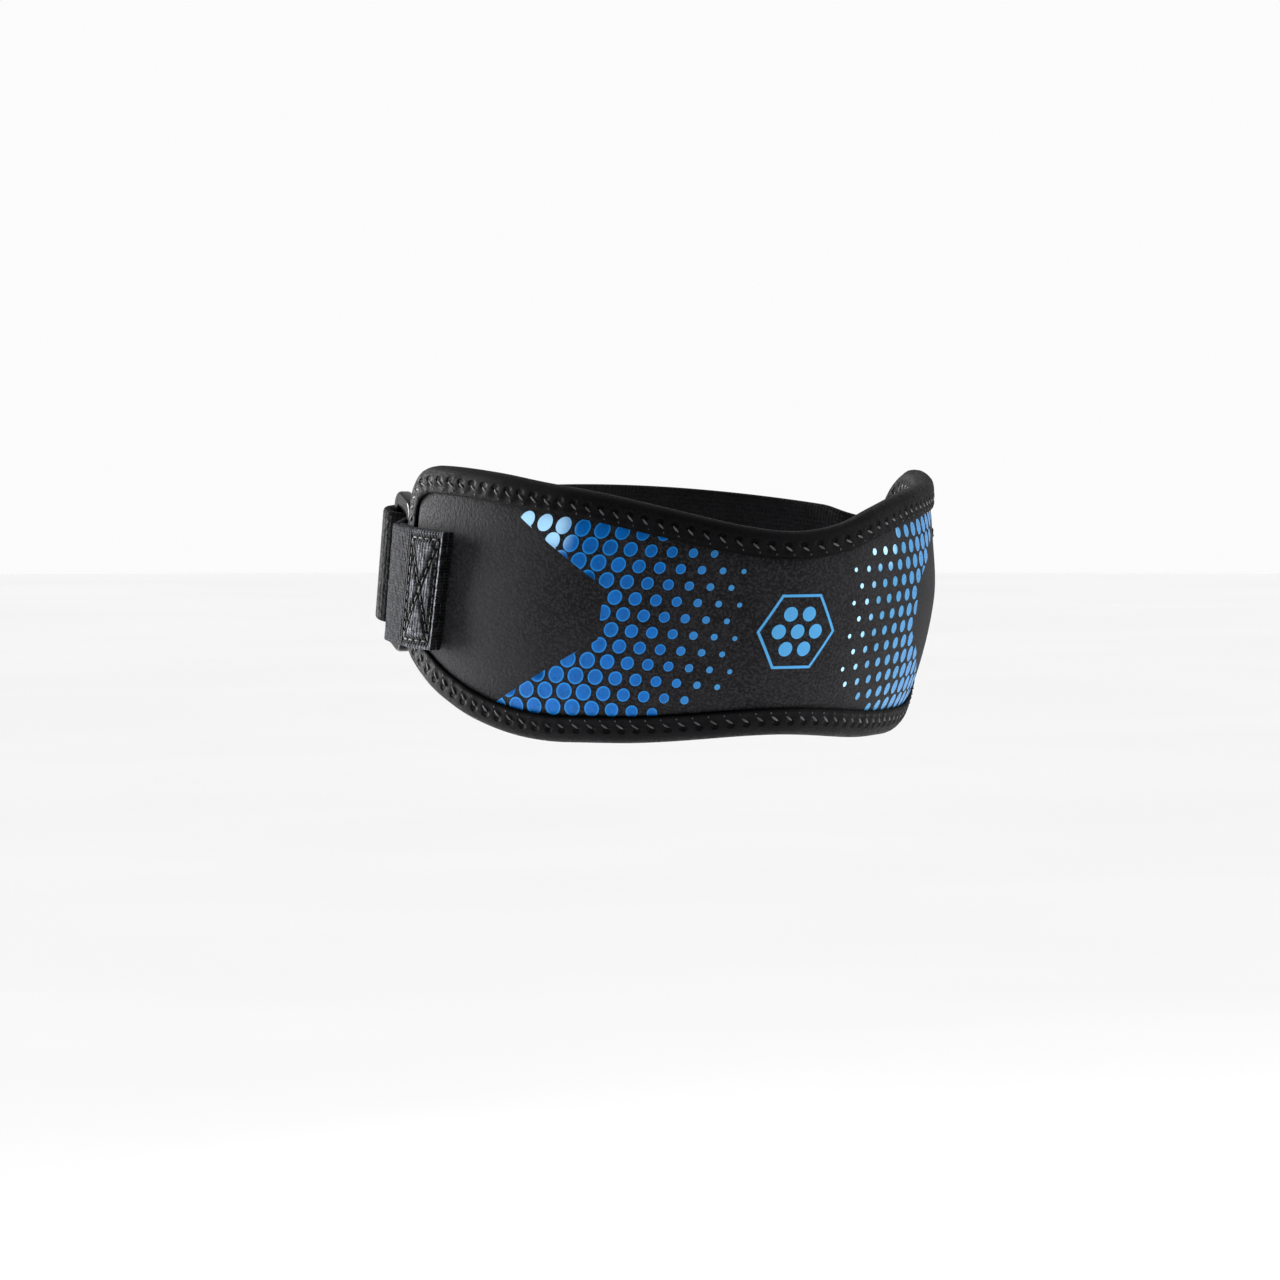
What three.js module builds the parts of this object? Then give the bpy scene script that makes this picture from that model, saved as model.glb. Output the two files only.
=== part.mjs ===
// Patella strap, closed into a loop as it is in use.
// Millimetres, +Z up. The front of the pad faces -Y. The origin is the middle of the loop's opening.

import * as THREE from 'three';
import { mergeVertices } from 'three/addons/utils/BufferGeometryUtils.js';

// Plan of the pad's outer face, one half: three arcs from the front centre back, each with its turn in degrees.
// The arc round the back closes the loop, so its radius follows from these.
const frontRadius = 44.3;
const flankRadius = 85;
const sideRadius = 50;
const planArcs = [
  { radius: frontRadius, turn: 26.7 },
  { radius: flankRadius, turn: 49.9 },
  { radius: sideRadius, turn: 31.4 },
];
const planHeight = 32; // height above the lower edge at which the plan is drawn
const frontReach = 62; // from the origin to the front of the plan
const lean = 0.295; // how far the loop shifts forward for each millimetre up
const coneHeight = 1667; // of the very steep cone that the loop widens along, from its tip to the plan
const bow = 4.8; // how far the front of the pad draws in over a bow height, above and below its fullest height
const bowHeight = 29; // the pad is fullest here
const bowReach = 110; // the bow fades out this far round from the front centre
const sideDraw = 1.6; // how far the loop's upper part draws in on the side away from the ring
const sideReach = 150; // it draws in most at half of this distance round from the front centre
const sideRise = 20; // over which it comes to its full draw, above the height of the plan

// Pad and its edge tape.
const padLength = 236;
const padHeight = 66;
const padThickness = 2.6;
const fit = 0.3; // gap that pieces keep
const tapeThickness = 1;
const tapeWidth = 6.6; // how far the tape reaches over the pad's face
const tapeGap = 0.25; // between the tape and the pad's faces
const tapeRound = 1.3; // of the tape's folded edge
const topCornerRadius = 13;
const lowerCornerRadius = 11;
const archHeight = 2; // of the lower edge, at the front centre
const archReach = 42;
const sweepStart = 56; // from here the lower edge sweeps up to the pad's ends
const sweepHeight = 27;

// Upper edge of the pad: its place as a share of the half length, its height as a share of the pad's height.
const upperEdge = [
  { at: -1, height: 0.993 },
  { at: -0.85, height: 0.99 },
  { at: -0.72, height: 0.969 },
  { at: -0.6, height: 0.938 },
  { at: -0.45, height: 0.9 },
  { at: -0.3, height: 0.847 },
  { at: -0.15, height: 0.79 },
  { at: -0.03, height: 0.766 },
  { at: 0.08, height: 0.787 },
  { at: 0.2, height: 0.842 },
  { at: 0.32, height: 0.885 },
  { at: 0.45, height: 0.91 },
  { at: 0.6, height: 0.928 },
  { at: 0.8, height: 0.955 },
  { at: 1, height: 0.975 },
];

// Ring and the webbing that holds it.
const ringBar = 3.4; // bar thickness
const ringEndBar = 3.8;
const ringSlotWidth = 9;
const ringSlotHeight = 30.6;
const ringCorner = 4.2;
const slotCorner = 1.2;
const ringHeight = 39.3; // of its middle, above the lower edge
const ringOut = -1.5; // of its front bar's middle, out from the pad's outer face
const ringFacePlace = 0.97; // share of the pad's half length at which the pad faces the way the ring does
const ringStandOff = 3.2; // from the pad's end to the webbing's eye
const webWidth = 29.5;
const webThickness = 1.3;
const eyeGap = 0.15; // added to the fit of the webbing round the bar
const tabLength = 24.5; // of the webbing and the strap sewn down on the pad, from the pad's ends
const tabFlat = 1; // of its cut end, before it starts to climb onto the tape
const tabStep = 7; // over which it climbs from the pad's face onto the tape
const tabHeight = 35.6; // of the tabs' middle, above the lower edge

// Strap.
const strapWidth = 28;
const strapThickness = 2;
const strapEndLength = 72; // folded back from the ring
const strapCorner = 8;
const foldGap = 0.5; // added to the fit of the strap round the bar
const strapBackHeight = 46; // of its middle, above the lower edge, at the back
const strapOverhang = 1; // it stays level this far past the pad's end
const patchLength = 44;
const patchThickness = 1;
const patchInset = 3; // from the strap's end and edges
const settleLength = 14; // over which the strap comes down onto what lies under it

const clothEdge = 0.4; // chamfer along the edges of webbing and strap

const halfLength = padLength / 2;
const rad = THREE.MathUtils.degToRad;
const smooth = (u) => THREE.MathUtils.smoothstep(u, 0, 1);
const mix = THREE.MathUtils.lerp;

// Follows the arcs of one half plan for a length and gives the point reached and the turn so far.
function followPlan(length) {
  let across = 0;
  let back = 0;
  let turn = 0;
  let left = length;
  for (const arc of [...planArcs, null]) {
    const radius = arc ? arc.radius : across / Math.sin(turn);
    const arcTurn = arc ? rad(arc.turn) : Math.PI - turn;
    const step = arc ? Math.min(left / radius, arcTurn) : left / radius;
    across += radius * (Math.sin(turn + step) - Math.sin(turn));
    back += radius * (Math.cos(turn) - Math.cos(turn + step));
    turn += step;
    left -= radius * step;
    if (arc && step < arcTurn) break;
  }
  return { across, back, turn };
}

const arcsLength = planArcs.reduce((sum, arc) => sum + arc.radius * rad(arc.turn), 0);
const arcsEnd = followPlan(arcsLength);
const halfGirth = arcsLength + (arcsEnd.across / Math.sin(arcsEnd.turn)) * (Math.PI - arcsEnd.turn);

// Point of the plan and its outward normal at a length round from the front centre, positive towards +X.
function planAt(along) {
  const girth = 2 * halfGirth;
  const place = THREE.MathUtils.euclideanModulo(along + halfGirth, girth) - halfGirth;
  const { across, back, turn } = followPlan(Math.abs(place));
  const side = Math.sign(place) || 1;
  return {
    x: side * across,
    y: back - frontReach,
    nx: side * Math.sin(turn),
    ny: -Math.cos(turn),
  };
}

// Point of the loop: along its girth, up from the pad's lower edge, out from the pad's outer face.
function wall(along, up, out) {
  const { x, y, nx, ny } = planAt(along);
  const rise = up - planHeight;
  const grow = 1 + rise / coneHeight;
  const fade = Math.max(0, 1 - (along / bowReach) ** 4);
  const drawn = smooth(rise / sideRise) * Math.sin(Math.PI * THREE.MathUtils.clamp(along / sideReach, 0, 1)) ** 2;
  const offset = out - bow * fade * ((up - bowHeight) / bowHeight) ** 2 - sideDraw * drawn;
  return new THREE.Vector3(x * grow + nx * offset, y * grow + ny * offset - lean * rise, rise);
}

// Direction of the loop's wall, upwards, at a place on it.
function wallUp(along, up) {
  return wall(along, up + 1, 0).sub(wall(along, up - 1, 0)).normalize();
}

// Smooth value of a table's column at a place, by cubic curves through its rows.
function tableAt(rows, column, place) {
  const last = rows.length - 2;
  let i = rows.findIndex((row, n) => n > 0 && row.at >= place) - 1;
  i = i < 0 ? (place <= rows[0].at ? 0 : last) : i;
  const slope = (n) => {
    const a = rows[Math.max(n - 1, 0)];
    const b = rows[Math.min(n + 1, rows.length - 1)];
    return (b[column] - a[column]) / (b.at - a.at);
  };
  const span = rows[i + 1].at - rows[i].at;
  const u = THREE.MathUtils.clamp((place - rows[i].at) / span, 0, 1);
  const start = rows[i][column];
  const rise = rows[i + 1][column] - start;
  const bend = u * (1 - u) * ((1 - u) * (slope(i) * span - rise) - u * (slope(i + 1) * span - rise));
  return start + u * rise + bend;
}

// Drop of a round corner at a distance from the pad's end.
function cornerDrop(radius, distance) {
  const short = Math.max(0, radius - distance);
  return radius - Math.sqrt(Math.max(0, radius ** 2 - short ** 2));
}

// Heights of the upper and lower edge at a place along the pad, drawn in by an inset all round.
function padTop(along, inset) {
  const reach = halfLength - inset;
  const edge = (place) => padHeight * tableAt(upperEdge, 'height', place / halfLength);
  const slope = edge(along + 0.5) - edge(along - 0.5);
  const drop = cornerDrop(topCornerRadius - inset, reach - Math.abs(along));
  return edge(along) - inset * Math.hypot(1, slope) - drop;
}

function padFoot(along, inset) {
  const reach = halfLength - inset;
  const edge = (place) => {
    const sweep = Math.max(0, (Math.abs(place) - sweepStart) / (halfLength - sweepStart));
    const arch = Math.max(0, 1 - Math.abs(place) / archReach);
    return sweepHeight * sweep ** 2 + archHeight * smooth(arch);
  };
  const slope = edge(along + 0.5) - edge(along - 0.5);
  const drop = cornerDrop(lowerCornerRadius - inset, reach - Math.abs(along));
  const blend = 1 - cornerDrop(1, (reach - Math.abs(along)) / lowerCornerRadius);
  return edge(along) + inset * mix(1, Math.hypot(1, slope), blend) + drop * 0.55;
}

// Places along the pad, closer together where its corners turn.
function padStations(inset, steps, cornerSteps) {
  const reach = halfLength - inset;
  const corner = topCornerRadius - inset;
  const places = [];
  for (let i = 0; i < cornerSteps; i++) {
    places.push(-reach + corner * (1 - Math.cos((i / cornerSteps) * (Math.PI / 2))));
  }
  for (let i = 0; i <= steps; i++) places.push(mix(-(reach - corner), reach - corner, i / steps));
  const mirrored = places.slice(0, cornerSteps).map((place) => -place);
  return [...places, ...mirrored.reverse()];
}

// Closed solid from rings of points: neighbours are joined, and open ends get a fan to their middle.
function skin(rings, closed) {
  const count = rings[0].length;
  const points = rings.flat();
  const faces = [];
  const last = closed ? rings.length : rings.length - 1;
  for (let i = 0; i < last; i++) {
    for (let j = 0; j < count; j++) {
      const a = i * count + j;
      const b = i * count + ((j + 1) % count);
      const c = ((i + 1) % rings.length) * count + ((j + 1) % count);
      const d = ((i + 1) % rings.length) * count + j;
      faces.push(a, b, c, a, c, d);
    }
  }
  if (!closed) {
    for (const [ring, flip] of [[0, true], [rings.length - 1, false]]) {
      const middle = points.length;
      const sum = rings[ring].reduce((total, point) => total.add(point), new THREE.Vector3());
      points.push(sum.divideScalar(count));
      for (let j = 0; j < count; j++) {
        const a = ring * count + j;
        const b = ring * count + ((j + 1) % count);
        faces.push(middle, flip ? b : a, flip ? a : b);
      }
    }
  }
  return outwardSolid(points, faces);
}

// Geometry of a closed mesh, with its faces turned to point out.
function outwardSolid(points, faces) {
  let volume = 0;
  for (let i = 0; i < faces.length; i += 3) {
    const [a, b, c] = [points[faces[i]], points[faces[i + 1]], points[faces[i + 2]]];
    volume += a.dot(new THREE.Vector3().crossVectors(b, c));
  }
  const order = volume < 0 ? [...faces].reverse() : faces;
  const geometry = new THREE.BufferGeometry();
  geometry.setAttribute('position', new THREE.Float32BufferAttribute(points.flatMap((p) => p.toArray()), 3));
  geometry.setIndex(order);
  geometry.computeVertexNormals();
  return geometry;
}

// Band swept along stations, each with its centre, its upward direction and its half width.
function ribbon(stations, thickness) {
  const rings = stations.map((station, i) => {
    const before = stations[Math.max(i - 1, 0)].centre;
    const after = stations[Math.min(i + 1, stations.length - 1)].centre;
    const out = new THREE.Vector3().subVectors(after, before).cross(station.up).normalize();
    const half = thickness / 2;
    const corners = [
      [1, half - clothEdge, 0],
      [1, half, clothEdge],
      [-1, half, clothEdge],
      [-1, half - clothEdge, 0],
      [-1, clothEdge - half, 0],
      [-1, -half, clothEdge],
      [1, -half, clothEdge],
      [1, clothEdge - half, 0],
    ];
    return corners.map(([side, offset, inset]) =>
      station.centre.clone()
        .addScaledVector(station.up, side * (station.half - inset))
        .addScaledVector(out, offset));
  });
  return skin(rings, false);
}

// Frame of the ring: its middle, the way the strap pulls, the way its bars run and the way it faces.
const eyeRadius = ringBar / 2 + fit + eyeGap + webThickness / 2;
const foldRadius = ringBar / 2 + fit + foldGap + strapThickness / 2;
const barSpacing = ringSlotWidth + ringBar;
const frontBarAlong = -(halfLength + ringStandOff + eyeRadius + webThickness / 2);
const rearBarAlong = frontBarAlong - barSpacing;
const barDirection = wallUp(frontBarAlong, ringHeight);
const facing = planAt(-ringFacePlace * halfLength);
const ringFace = new THREE.Vector3(facing.nx, facing.ny, 0);
ringFace.addScaledVector(barDirection, -ringFace.dot(barDirection)).normalize();
const pull = new THREE.Vector3().crossVectors(ringFace, barDirection).normalize();
const barRise = pull.z * (barSpacing / 2);
const ringMiddle = wall(frontBarAlong, ringHeight - barRise, ringOut).addScaledVector(pull, barSpacing / 2);

// Angle at which a straight run from a point touches the circle round one of the ring's bars.
function touchAngle(point, barPlace, radius, side) {
  const local = point.clone().sub(ringMiddle);
  const towardsBack = local.dot(pull) - barPlace;
  const out = local.dot(ringFace);
  return Math.atan2(out, towardsBack) + side * Math.acos(radius / Math.hypot(towardsBack, out));
}

// Stations round one of the ring's bars, between the touching points of the runs from before and to after it.
function roundBar(barPlace, radius, before, after, side, steps) {
  const start = touchAngle(before.centre, barPlace, radius, side);
  const end = touchAngle(after.centre, barPlace, radius, -side);
  const sweep = THREE.MathUtils.euclideanModulo(side * (end - start), 2 * Math.PI);
  return Array.from({ length: steps + 1 }, (_, i) => {
    const angle = start + side * sweep * (i / steps);
    const centre = ringMiddle.clone()
      .addScaledVector(pull, barPlace + radius * Math.cos(angle))
      .addScaledVector(ringFace, radius * Math.sin(angle));
    return { centre, up: barDirection, half: before.half };
  });
}

// Stations along the loop's wall, at the strap's height, with their distance out given for each place.
function alongWall(from, to, steps, halfWidth, outAt) {
  return Array.from({ length: steps + 1 }, (_, i) => {
    const along = mix(from, to, i / steps);
    const up = strapHeight(along);
    return { centre: wall(along, up, outAt(along)), up: wallUp(along, up), half: halfWidth };
  });
}

// How far out a sewn tab's middle lies at a place on the pad: on its face, then on the tape.
function tabOut(reach, thickness) {
  const climb = smooth((reach - (halfLength - tabLength) - tabFlat) / tabStep);
  return fit + thickness / 2 + climb * (tapeGap + tapeThickness);
}

// Straight stations between two others, without either end.
function between(from, to, steps) {
  return Array.from({ length: steps - 1 }, (_, i) => {
    const u = (i + 1) / steps;
    return {
      centre: from.centre.clone().lerp(to.centre, u),
      up: from.up.clone().lerp(to.up, u).normalize(),
      half: mix(from.half, to.half, u),
    };
  });
}

// Height of the strap's middle above the lower edge: nearly level on the tabs, then rising to the back.
function strapHeight(along) {
  const reach = Math.min(Math.abs(along), 2 * halfGirth - Math.abs(along));
  const tabEnd = halfLength - tabLength;
  const fold = -rearBarAlong;
  const tabSlope = (ringHeight - barRise - tabHeight) / (-frontBarAlong - tabEnd);
  if (reach < -frontBarAlong) return tabHeight + tabSlope * (reach - tabEnd);
  if (reach < fold) return mix(ringHeight - barRise, ringHeight + barRise, (reach + frontBarAlong) / barSpacing);
  const u = (reach - fold) / (halfGirth - fold);
  return mix(ringHeight + barRise, strapBackHeight, Math.sin(u * (Math.PI / 2)));
}

function makePad() {
  const inset = tapeThickness + fit;
  const rows = 9;
  const stations = padStations(inset, 56, 6);
  const rings = stations.map((along) => {
    const top = padTop(along, inset);
    const foot = padFoot(along, inset);
    const face = (out) => Array.from({ length: rows + 1 }, (_, j) => wall(along, mix(foot, top, j / rows), out));
    return [...face(0), ...face(-padThickness).reverse()];
  });
  return skin(rings, false);
}

// Outline of the pad in its own flat lay, once round, with the inward direction at each point.
function padOutline() {
  const stations = padStations(0, 58, 6);
  const endSteps = 5;
  const points = stations.map((along) => new THREE.Vector2(along, padTop(along, 0)));
  const endEdge = (along) => {
    const top = padTop(along, 0);
    const foot = padFoot(along, 0);
    return Array.from({ length: endSteps - 1 }, (_, i) => new THREE.Vector2(along, mix(top, foot, (i + 1) / endSteps)));
  };
  points.push(...endEdge(halfLength));
  points.push(...[...stations].reverse().map((along) => new THREE.Vector2(along, padFoot(along, 0))));
  points.push(...endEdge(-halfLength).reverse());
  return points.map((point, i) => {
    const before = points[(i + points.length - 1) % points.length];
    const after = points[(i + 1) % points.length];
    const toward = after.clone().sub(before).normalize();
    return { point, inward: new THREE.Vector2(toward.y, -toward.x) };
  });
}

function makeTape() {
  const outer = tapeGap + tapeThickness;
  const inner = -(padThickness + tapeGap + tapeThickness);
  const section = [
    { inward: tapeWidth, out: tapeGap },
    { inward: tapeWidth, out: outer - clothEdge },
    { inward: tapeWidth - clothEdge, out: outer },
    { inward: tapeRound, out: outer },
    { inward: tapeRound * 0.3, out: outer - tapeRound * 0.3 },
    { inward: 0, out: outer - tapeRound },
    { inward: 0, out: inner + tapeRound },
    { inward: tapeRound * 0.3, out: inner + tapeRound * 0.3 },
    { inward: tapeRound, out: inner },
    { inward: tapeWidth - clothEdge, out: inner },
    { inward: tapeWidth, out: inner + clothEdge },
    { inward: tapeWidth, out: inner + tapeThickness },
    { inward: tapeThickness, out: inner + tapeThickness },
    { inward: tapeThickness, out: tapeGap },
  ];
  const rings = padOutline().map(({ point, inward }) =>
    section.map((corner) =>
      wall(point.x + inward.x * corner.inward, point.y + inward.y * corner.inward, corner.out)));
  return skin(rings, true);
}

// Rectangle with round corners, drawn into a shape or a hole.
function roundedRectangle(path, width, height, corner) {
  const x = width / 2 - corner;
  const y = height / 2 - corner;
  path.absarc(x, y, corner, 0, Math.PI / 2);
  path.absarc(-x, y, corner, Math.PI / 2, Math.PI);
  path.absarc(-x, -y, corner, Math.PI, 1.5 * Math.PI);
  path.absarc(x, -y, corner, 1.5 * Math.PI, 2 * Math.PI);
  path.closePath();
  return path;
}

function makeRing() {
  const soft = ringBar * 0.28;
  const width = ringSlotWidth + 2 * ringBar - 2 * soft;
  const height = ringSlotHeight + 2 * ringEndBar - 2 * soft;
  const shape = roundedRectangle(new THREE.Shape(), width, height, ringCorner - soft);
  shape.holes.push(roundedRectangle(
    new THREE.Path(), ringSlotWidth + 2 * soft, ringSlotHeight + 2 * soft, slotCorner + soft));
  const solid = new THREE.ExtrudeGeometry(shape, {
    depth: ringBar - 2 * soft,
    bevelThickness: soft,
    bevelSize: soft,
    bevelSegments: 2,
    curveSegments: 5,
  });
  solid.translate(0, 0, soft - ringBar / 2);
  solid.deleteAttribute('normal');
  solid.deleteAttribute('uv');
  const geometry = mergeVertices(solid, 1e-4);
  geometry.applyMatrix4(new THREE.Matrix4().makeBasis(pull, barDirection, ringFace.clone().negate()));
  geometry.translate(ringMiddle.x, ringMiddle.y, ringMiddle.z);
  geometry.computeVertexNormals();
  return geometry;
}

// Webbing: from under the tab round the ring's front bar and back over itself.
function makeRingLoop() {
  const half = webWidth / 2;
  const tabEnd = halfLength - tabLength;
  const ply = (lift) =>
    alongWall(-tabEnd, -(halfLength + fit), 9, half, (along) => tabOut(-along, webThickness) + lift);
  const lower = ply(0);
  const upper = ply(webThickness + fit).reverse();
  const eye = roundBar(-barSpacing / 2, eyeRadius, lower.at(-1), upper[0], 1, 12);
  const down = between(lower.at(-1), eye[0], 3);
  const back = between(eye.at(-1), upper[0], 3);
  return ribbon([...lower, ...down, ...eye, ...back, ...upper], webThickness);
}

// Strap: sewn on the pad's far end, round the back, through the ring and folded back over itself.
const skinOut = -(padThickness + tapeGap + tapeThickness);
const strapOut = skinOut + strapThickness / 2;
const foldedOut = strapOut + strapThickness + patchThickness + 2 * fit;
const strapEnd = -rearBarAlong + strapEndLength;

function makeStrap() {
  const half = strapWidth / 2;
  const rearBar = -rearBarAlong;
  const backStart = halfLength + strapOverhang;
  const backEnd = 2 * halfGirth - rearBar - settleLength;
  const onTape = tabOut(backStart, strapThickness);
  const sewn = alongWall(halfLength - tabLength, backStart, 9, half, (along) => tabOut(along, strapThickness));
  const under = alongWall(backStart, backEnd, 44, half, (along) =>
    mix(onTape, strapOut, smooth((along - backStart) / settleLength)));
  const over = alongWall(-rearBar - settleLength, -strapEnd + strapCorner, 18, half, () => foldedOut);
  const fold = roundBar(barSpacing / 2, foldRadius, under.at(-1), over[0], -1, 12);
  const toRing = between(under.at(-1), fold[0], 4);
  const fromRing = between(fold.at(-1), over[0], 4);
  const tip = over.at(-1);
  const tipBefore = over.at(-2);
  const cornerSteps = 4;
  const rounding = Array.from({ length: cornerSteps }, (_, i) => {
    const left = Math.cos(((i + 1) / cornerSteps) * (Math.PI / 2)) * strapCorner;
    const forward = new THREE.Vector3().subVectors(tip.centre, tipBefore.centre).normalize();
    const centre = tip.centre.clone().addScaledVector(forward, strapCorner - left);
    return { centre, up: tip.up, half: half - cornerDrop(strapCorner, left) };
  });
  const stations = [...sewn, ...under.slice(1), ...toRing, ...fold, ...fromRing, ...over, ...rounding];
  return ribbon(stations, strapThickness);
}

// Fastening patch on the inner face of the strap's free end.
function makePatch() {
  const half = strapWidth / 2 - patchInset;
  const out = strapOut + strapThickness / 2 + fit + patchThickness / 2;
  const end = strapEnd - patchInset;
  const stations = alongWall(-(end - patchLength), -end, 14, half, () => out);
  return ribbon(stations, patchThickness);
}

function addPiece(name, geometry, color, roughness) {
  const mesh = new THREE.Mesh(geometry, new THREE.MeshStandardMaterial({ color, roughness, metalness: 0 }));
  mesh.name = name;
  strap.add(mesh);
}

const strap = new THREE.Group();
addPiece('pad', makePad(), 0x1d1d1f, 0.9);
addPiece('edge_tape', makeTape(), 0x161617, 0.85);
addPiece('ring', makeRing(), 0x141416, 0.35);
addPiece('ring_webbing', makeRingLoop(), 0x4a4c52, 0.95);
addPiece('strap', makeStrap(), 0x18181a, 0.9);
addPiece('fastening_patch', makePatch(), 0x121213, 0.95);

export default strap;
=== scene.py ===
import bisect
import math

import bmesh
import bpy
from mathutils import Matrix, Vector, noise


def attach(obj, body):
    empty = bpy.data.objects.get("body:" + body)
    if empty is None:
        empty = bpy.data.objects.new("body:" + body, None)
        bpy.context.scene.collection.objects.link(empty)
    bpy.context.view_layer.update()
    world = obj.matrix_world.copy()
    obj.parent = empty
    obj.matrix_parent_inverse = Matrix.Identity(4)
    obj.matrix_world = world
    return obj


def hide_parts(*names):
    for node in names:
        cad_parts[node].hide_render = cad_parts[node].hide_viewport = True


bl_info = {
    "name": "Patella Strap",
    "version": (1, 0, 0),
    "blender": (4, 5, 0),
    "location": "3D View > Sidebar > Patella Strap",
    "description": "Builds a patella strap with a bound pad, a ring and a strap folded back over itself",
    "category": "Add Mesh",
}

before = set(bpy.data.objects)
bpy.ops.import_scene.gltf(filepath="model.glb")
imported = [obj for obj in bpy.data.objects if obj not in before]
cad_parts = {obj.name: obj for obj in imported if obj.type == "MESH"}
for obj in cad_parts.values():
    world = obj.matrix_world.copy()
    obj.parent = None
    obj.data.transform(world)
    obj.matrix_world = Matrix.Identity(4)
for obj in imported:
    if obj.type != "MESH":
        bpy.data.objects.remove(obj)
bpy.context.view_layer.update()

MM = 0.001

# Plan of the pad's outer face, one half: each arc's radius and its turn in degrees, from the front back.
PLAN_ARCS = (
    (44.3 * MM, 26.7),
    (85.0 * MM, 49.9),
    (50.0 * MM, 31.4),
)
PLAN_HEIGHT = 32 * MM
FRONT_REACH = 62 * MM
LEAN = 0.295
CONE_HEIGHT = 1.667
BOW = 4.8 * MM
BOW_HEIGHT = 29 * MM
BOW_REACH = 110 * MM
SIDE_DRAW = 1.6 * MM
SIDE_REACH = 150 * MM
SIDE_RISE = 20 * MM

# Outline of the pad.
PAD_THICKNESS = 2.6 * MM
FIT = 0.3 * MM
TAPE_THICKNESS = 1 * MM
TAPE_GAP = 0.25 * MM
TOP_CORNER = 13 * MM
LOWER_CORNER = 11 * MM
ARCH_HEIGHT = 2 * MM
ARCH_REACH = 42 * MM
SWEEP_START = 56 * MM
SWEEP_HEIGHT = 27 * MM
FACE_RIPPLE = 0.12 * MM

# Upper edge of the pad: place as a share of the half length, height as a share of the pad's height.
UPPER_EDGE = (
    (-1.0, 0.993),
    (-0.85, 0.99),
    (-0.72, 0.969),
    (-0.6, 0.938),
    (-0.45, 0.9),
    (-0.3, 0.847),
    (-0.15, 0.79),
    (-0.03, 0.766),
    (0.08, 0.787),
    (0.2, 0.842),
    (0.32, 0.885),
    (0.45, 0.91),
    (0.6, 0.928),
    (0.8, 0.955),
    (1.0, 0.975),
)

# Section of the edge tape, from its front inner edge round to the back one:
# place, then distance in from the pad's edge and distance out, in millimetres.
TAPE_SECTION = (
    (0.00, 6.7, 0.25),
    (0.04, 6.5, 0.80),
    (0.09, 5.8, 1.08),
    (0.15, 5.0, 1.02),
    (0.20, 4.3, 1.00),
    (0.26, 3.5, 1.20),
    (0.34, 2.3, 1.34),
    (0.42, 0.9, 0.95),
    (0.47, 0.15, 0.00),
    (0.50, -0.05, -1.30),
    (0.53, 0.15, -2.60),
    (0.58, 0.9, -3.55),
    (0.66, 2.3, -3.90),
    (0.74, 3.5, -3.80),
    (0.80, 4.3, -3.60),
    (0.85, 5.0, -3.62),
    (0.91, 5.8, -3.68),
    (0.96, 6.5, -3.40),
    (1.00, 6.7, -2.90),
)

# Ring, webbing and strap.
RING_BAR = 3.4 * MM
RING_END_BAR = 3.8 * MM
RING_SLOT_WIDTH = 9 * MM
RING_SLOT_HEIGHT = 30.6 * MM
RING_CORNER = 4.2 * MM
SLOT_CORNER = 1.2 * MM
RING_HEIGHT = 39.3 * MM
RING_OUT = -1.5 * MM
RING_FACE_PLACE = 0.97
RING_STAND_OFF = 3.2 * MM
WEB_THICKNESS = 1.3 * MM
EYE_SLACK = 0.15 * MM
TAB_LENGTH = 24.5 * MM
TAB_FLAT = 1 * MM
TAB_STEP = 7 * MM
TAB_HEIGHT = 35.6 * MM
TAB_PRESS = 0.5 * MM
STRAP_THICKNESS = 2 * MM
STRAP_END_LENGTH = 72 * MM
STRAP_CORNER = 8 * MM
FOLD_SLACK = 0.5 * MM
STRAP_BACK_HEIGHT = 46 * MM
STRAP_OVERHANG = 1 * MM
PATCH_LENGTH = 44 * MM
PATCH_THICKNESS = 1 * MM
PATCH_INSET = 3 * MM
SETTLE_LENGTH = 14 * MM
RING_ROUNDING = 0.95 * MM

# Print: rows of dots that spread and grow away from the front centre, cut off along a chevron.
DOT_ROWS = 12
DOT_COLUMNS = 14
DOT_MIDDLE_HEIGHT = 27.4 * MM
DOT_ROW_SPACING = 3.96 * MM
DOT_START = 15.4 * MM
DOT_PITCH = 4.86 * MM
DOT_SMALLEST = 1.15 * MM
DOT_LARGEST = 4.1 * MM
DOT_FULL_AT = 52 * MM
PRINT_END = 48 * MM
PRINT_UPPER_CORNER = 37.4 * MM
PRINT_LOWER_CORNER = 25 * MM
UPPER_SLANT = 1.6
LOWER_SLANT = 1.75
RIGHT_WIDTH = 0.965
RIGHT_LEAN = -0.03
RIGHT_SHIFT = 0.2 * MM
RIGHT_DOTS = 0.94
FILM_LIFT = 0.07 * MM
EMBLEM_CENTRE = (-0.3 * MM, 26.9 * MM)
EMBLEM_LINE = 0.65 * MM
# Colour of the painted highlight where the glossy print glints.
PAINTED_GLINT_FILM = (0.34, 0.6, 0.82, 1)

# Stitches, and the tape between them.
TAPE_STITCH = 3.9 * MM
TAPE_HOLE_DEPTH = 3.1 * MM
TAPE_STITCH_OUTER = 3.5 * MM
TAPE_STITCH_INNER = 4.7 * MM
TAPE_SEAM_DEPTH = 4.3 * MM
TAPE_SEAM_REACH = 1.2 * MM
TAPE_BULGE = 0.24 * MM
TAPE_WAVER = 0.22 * MM
TAPE_CLOTH = 0.5 * MM
THREAD_RADIUS = 0.27 * MM
WEB_SEAM_REACH = 11.5 * MM
STRAP_SEAM_REACH = 13.5 * MM
SEAM_END = 1.8 * MM
SEAM_INSET = 2 * MM

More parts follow.
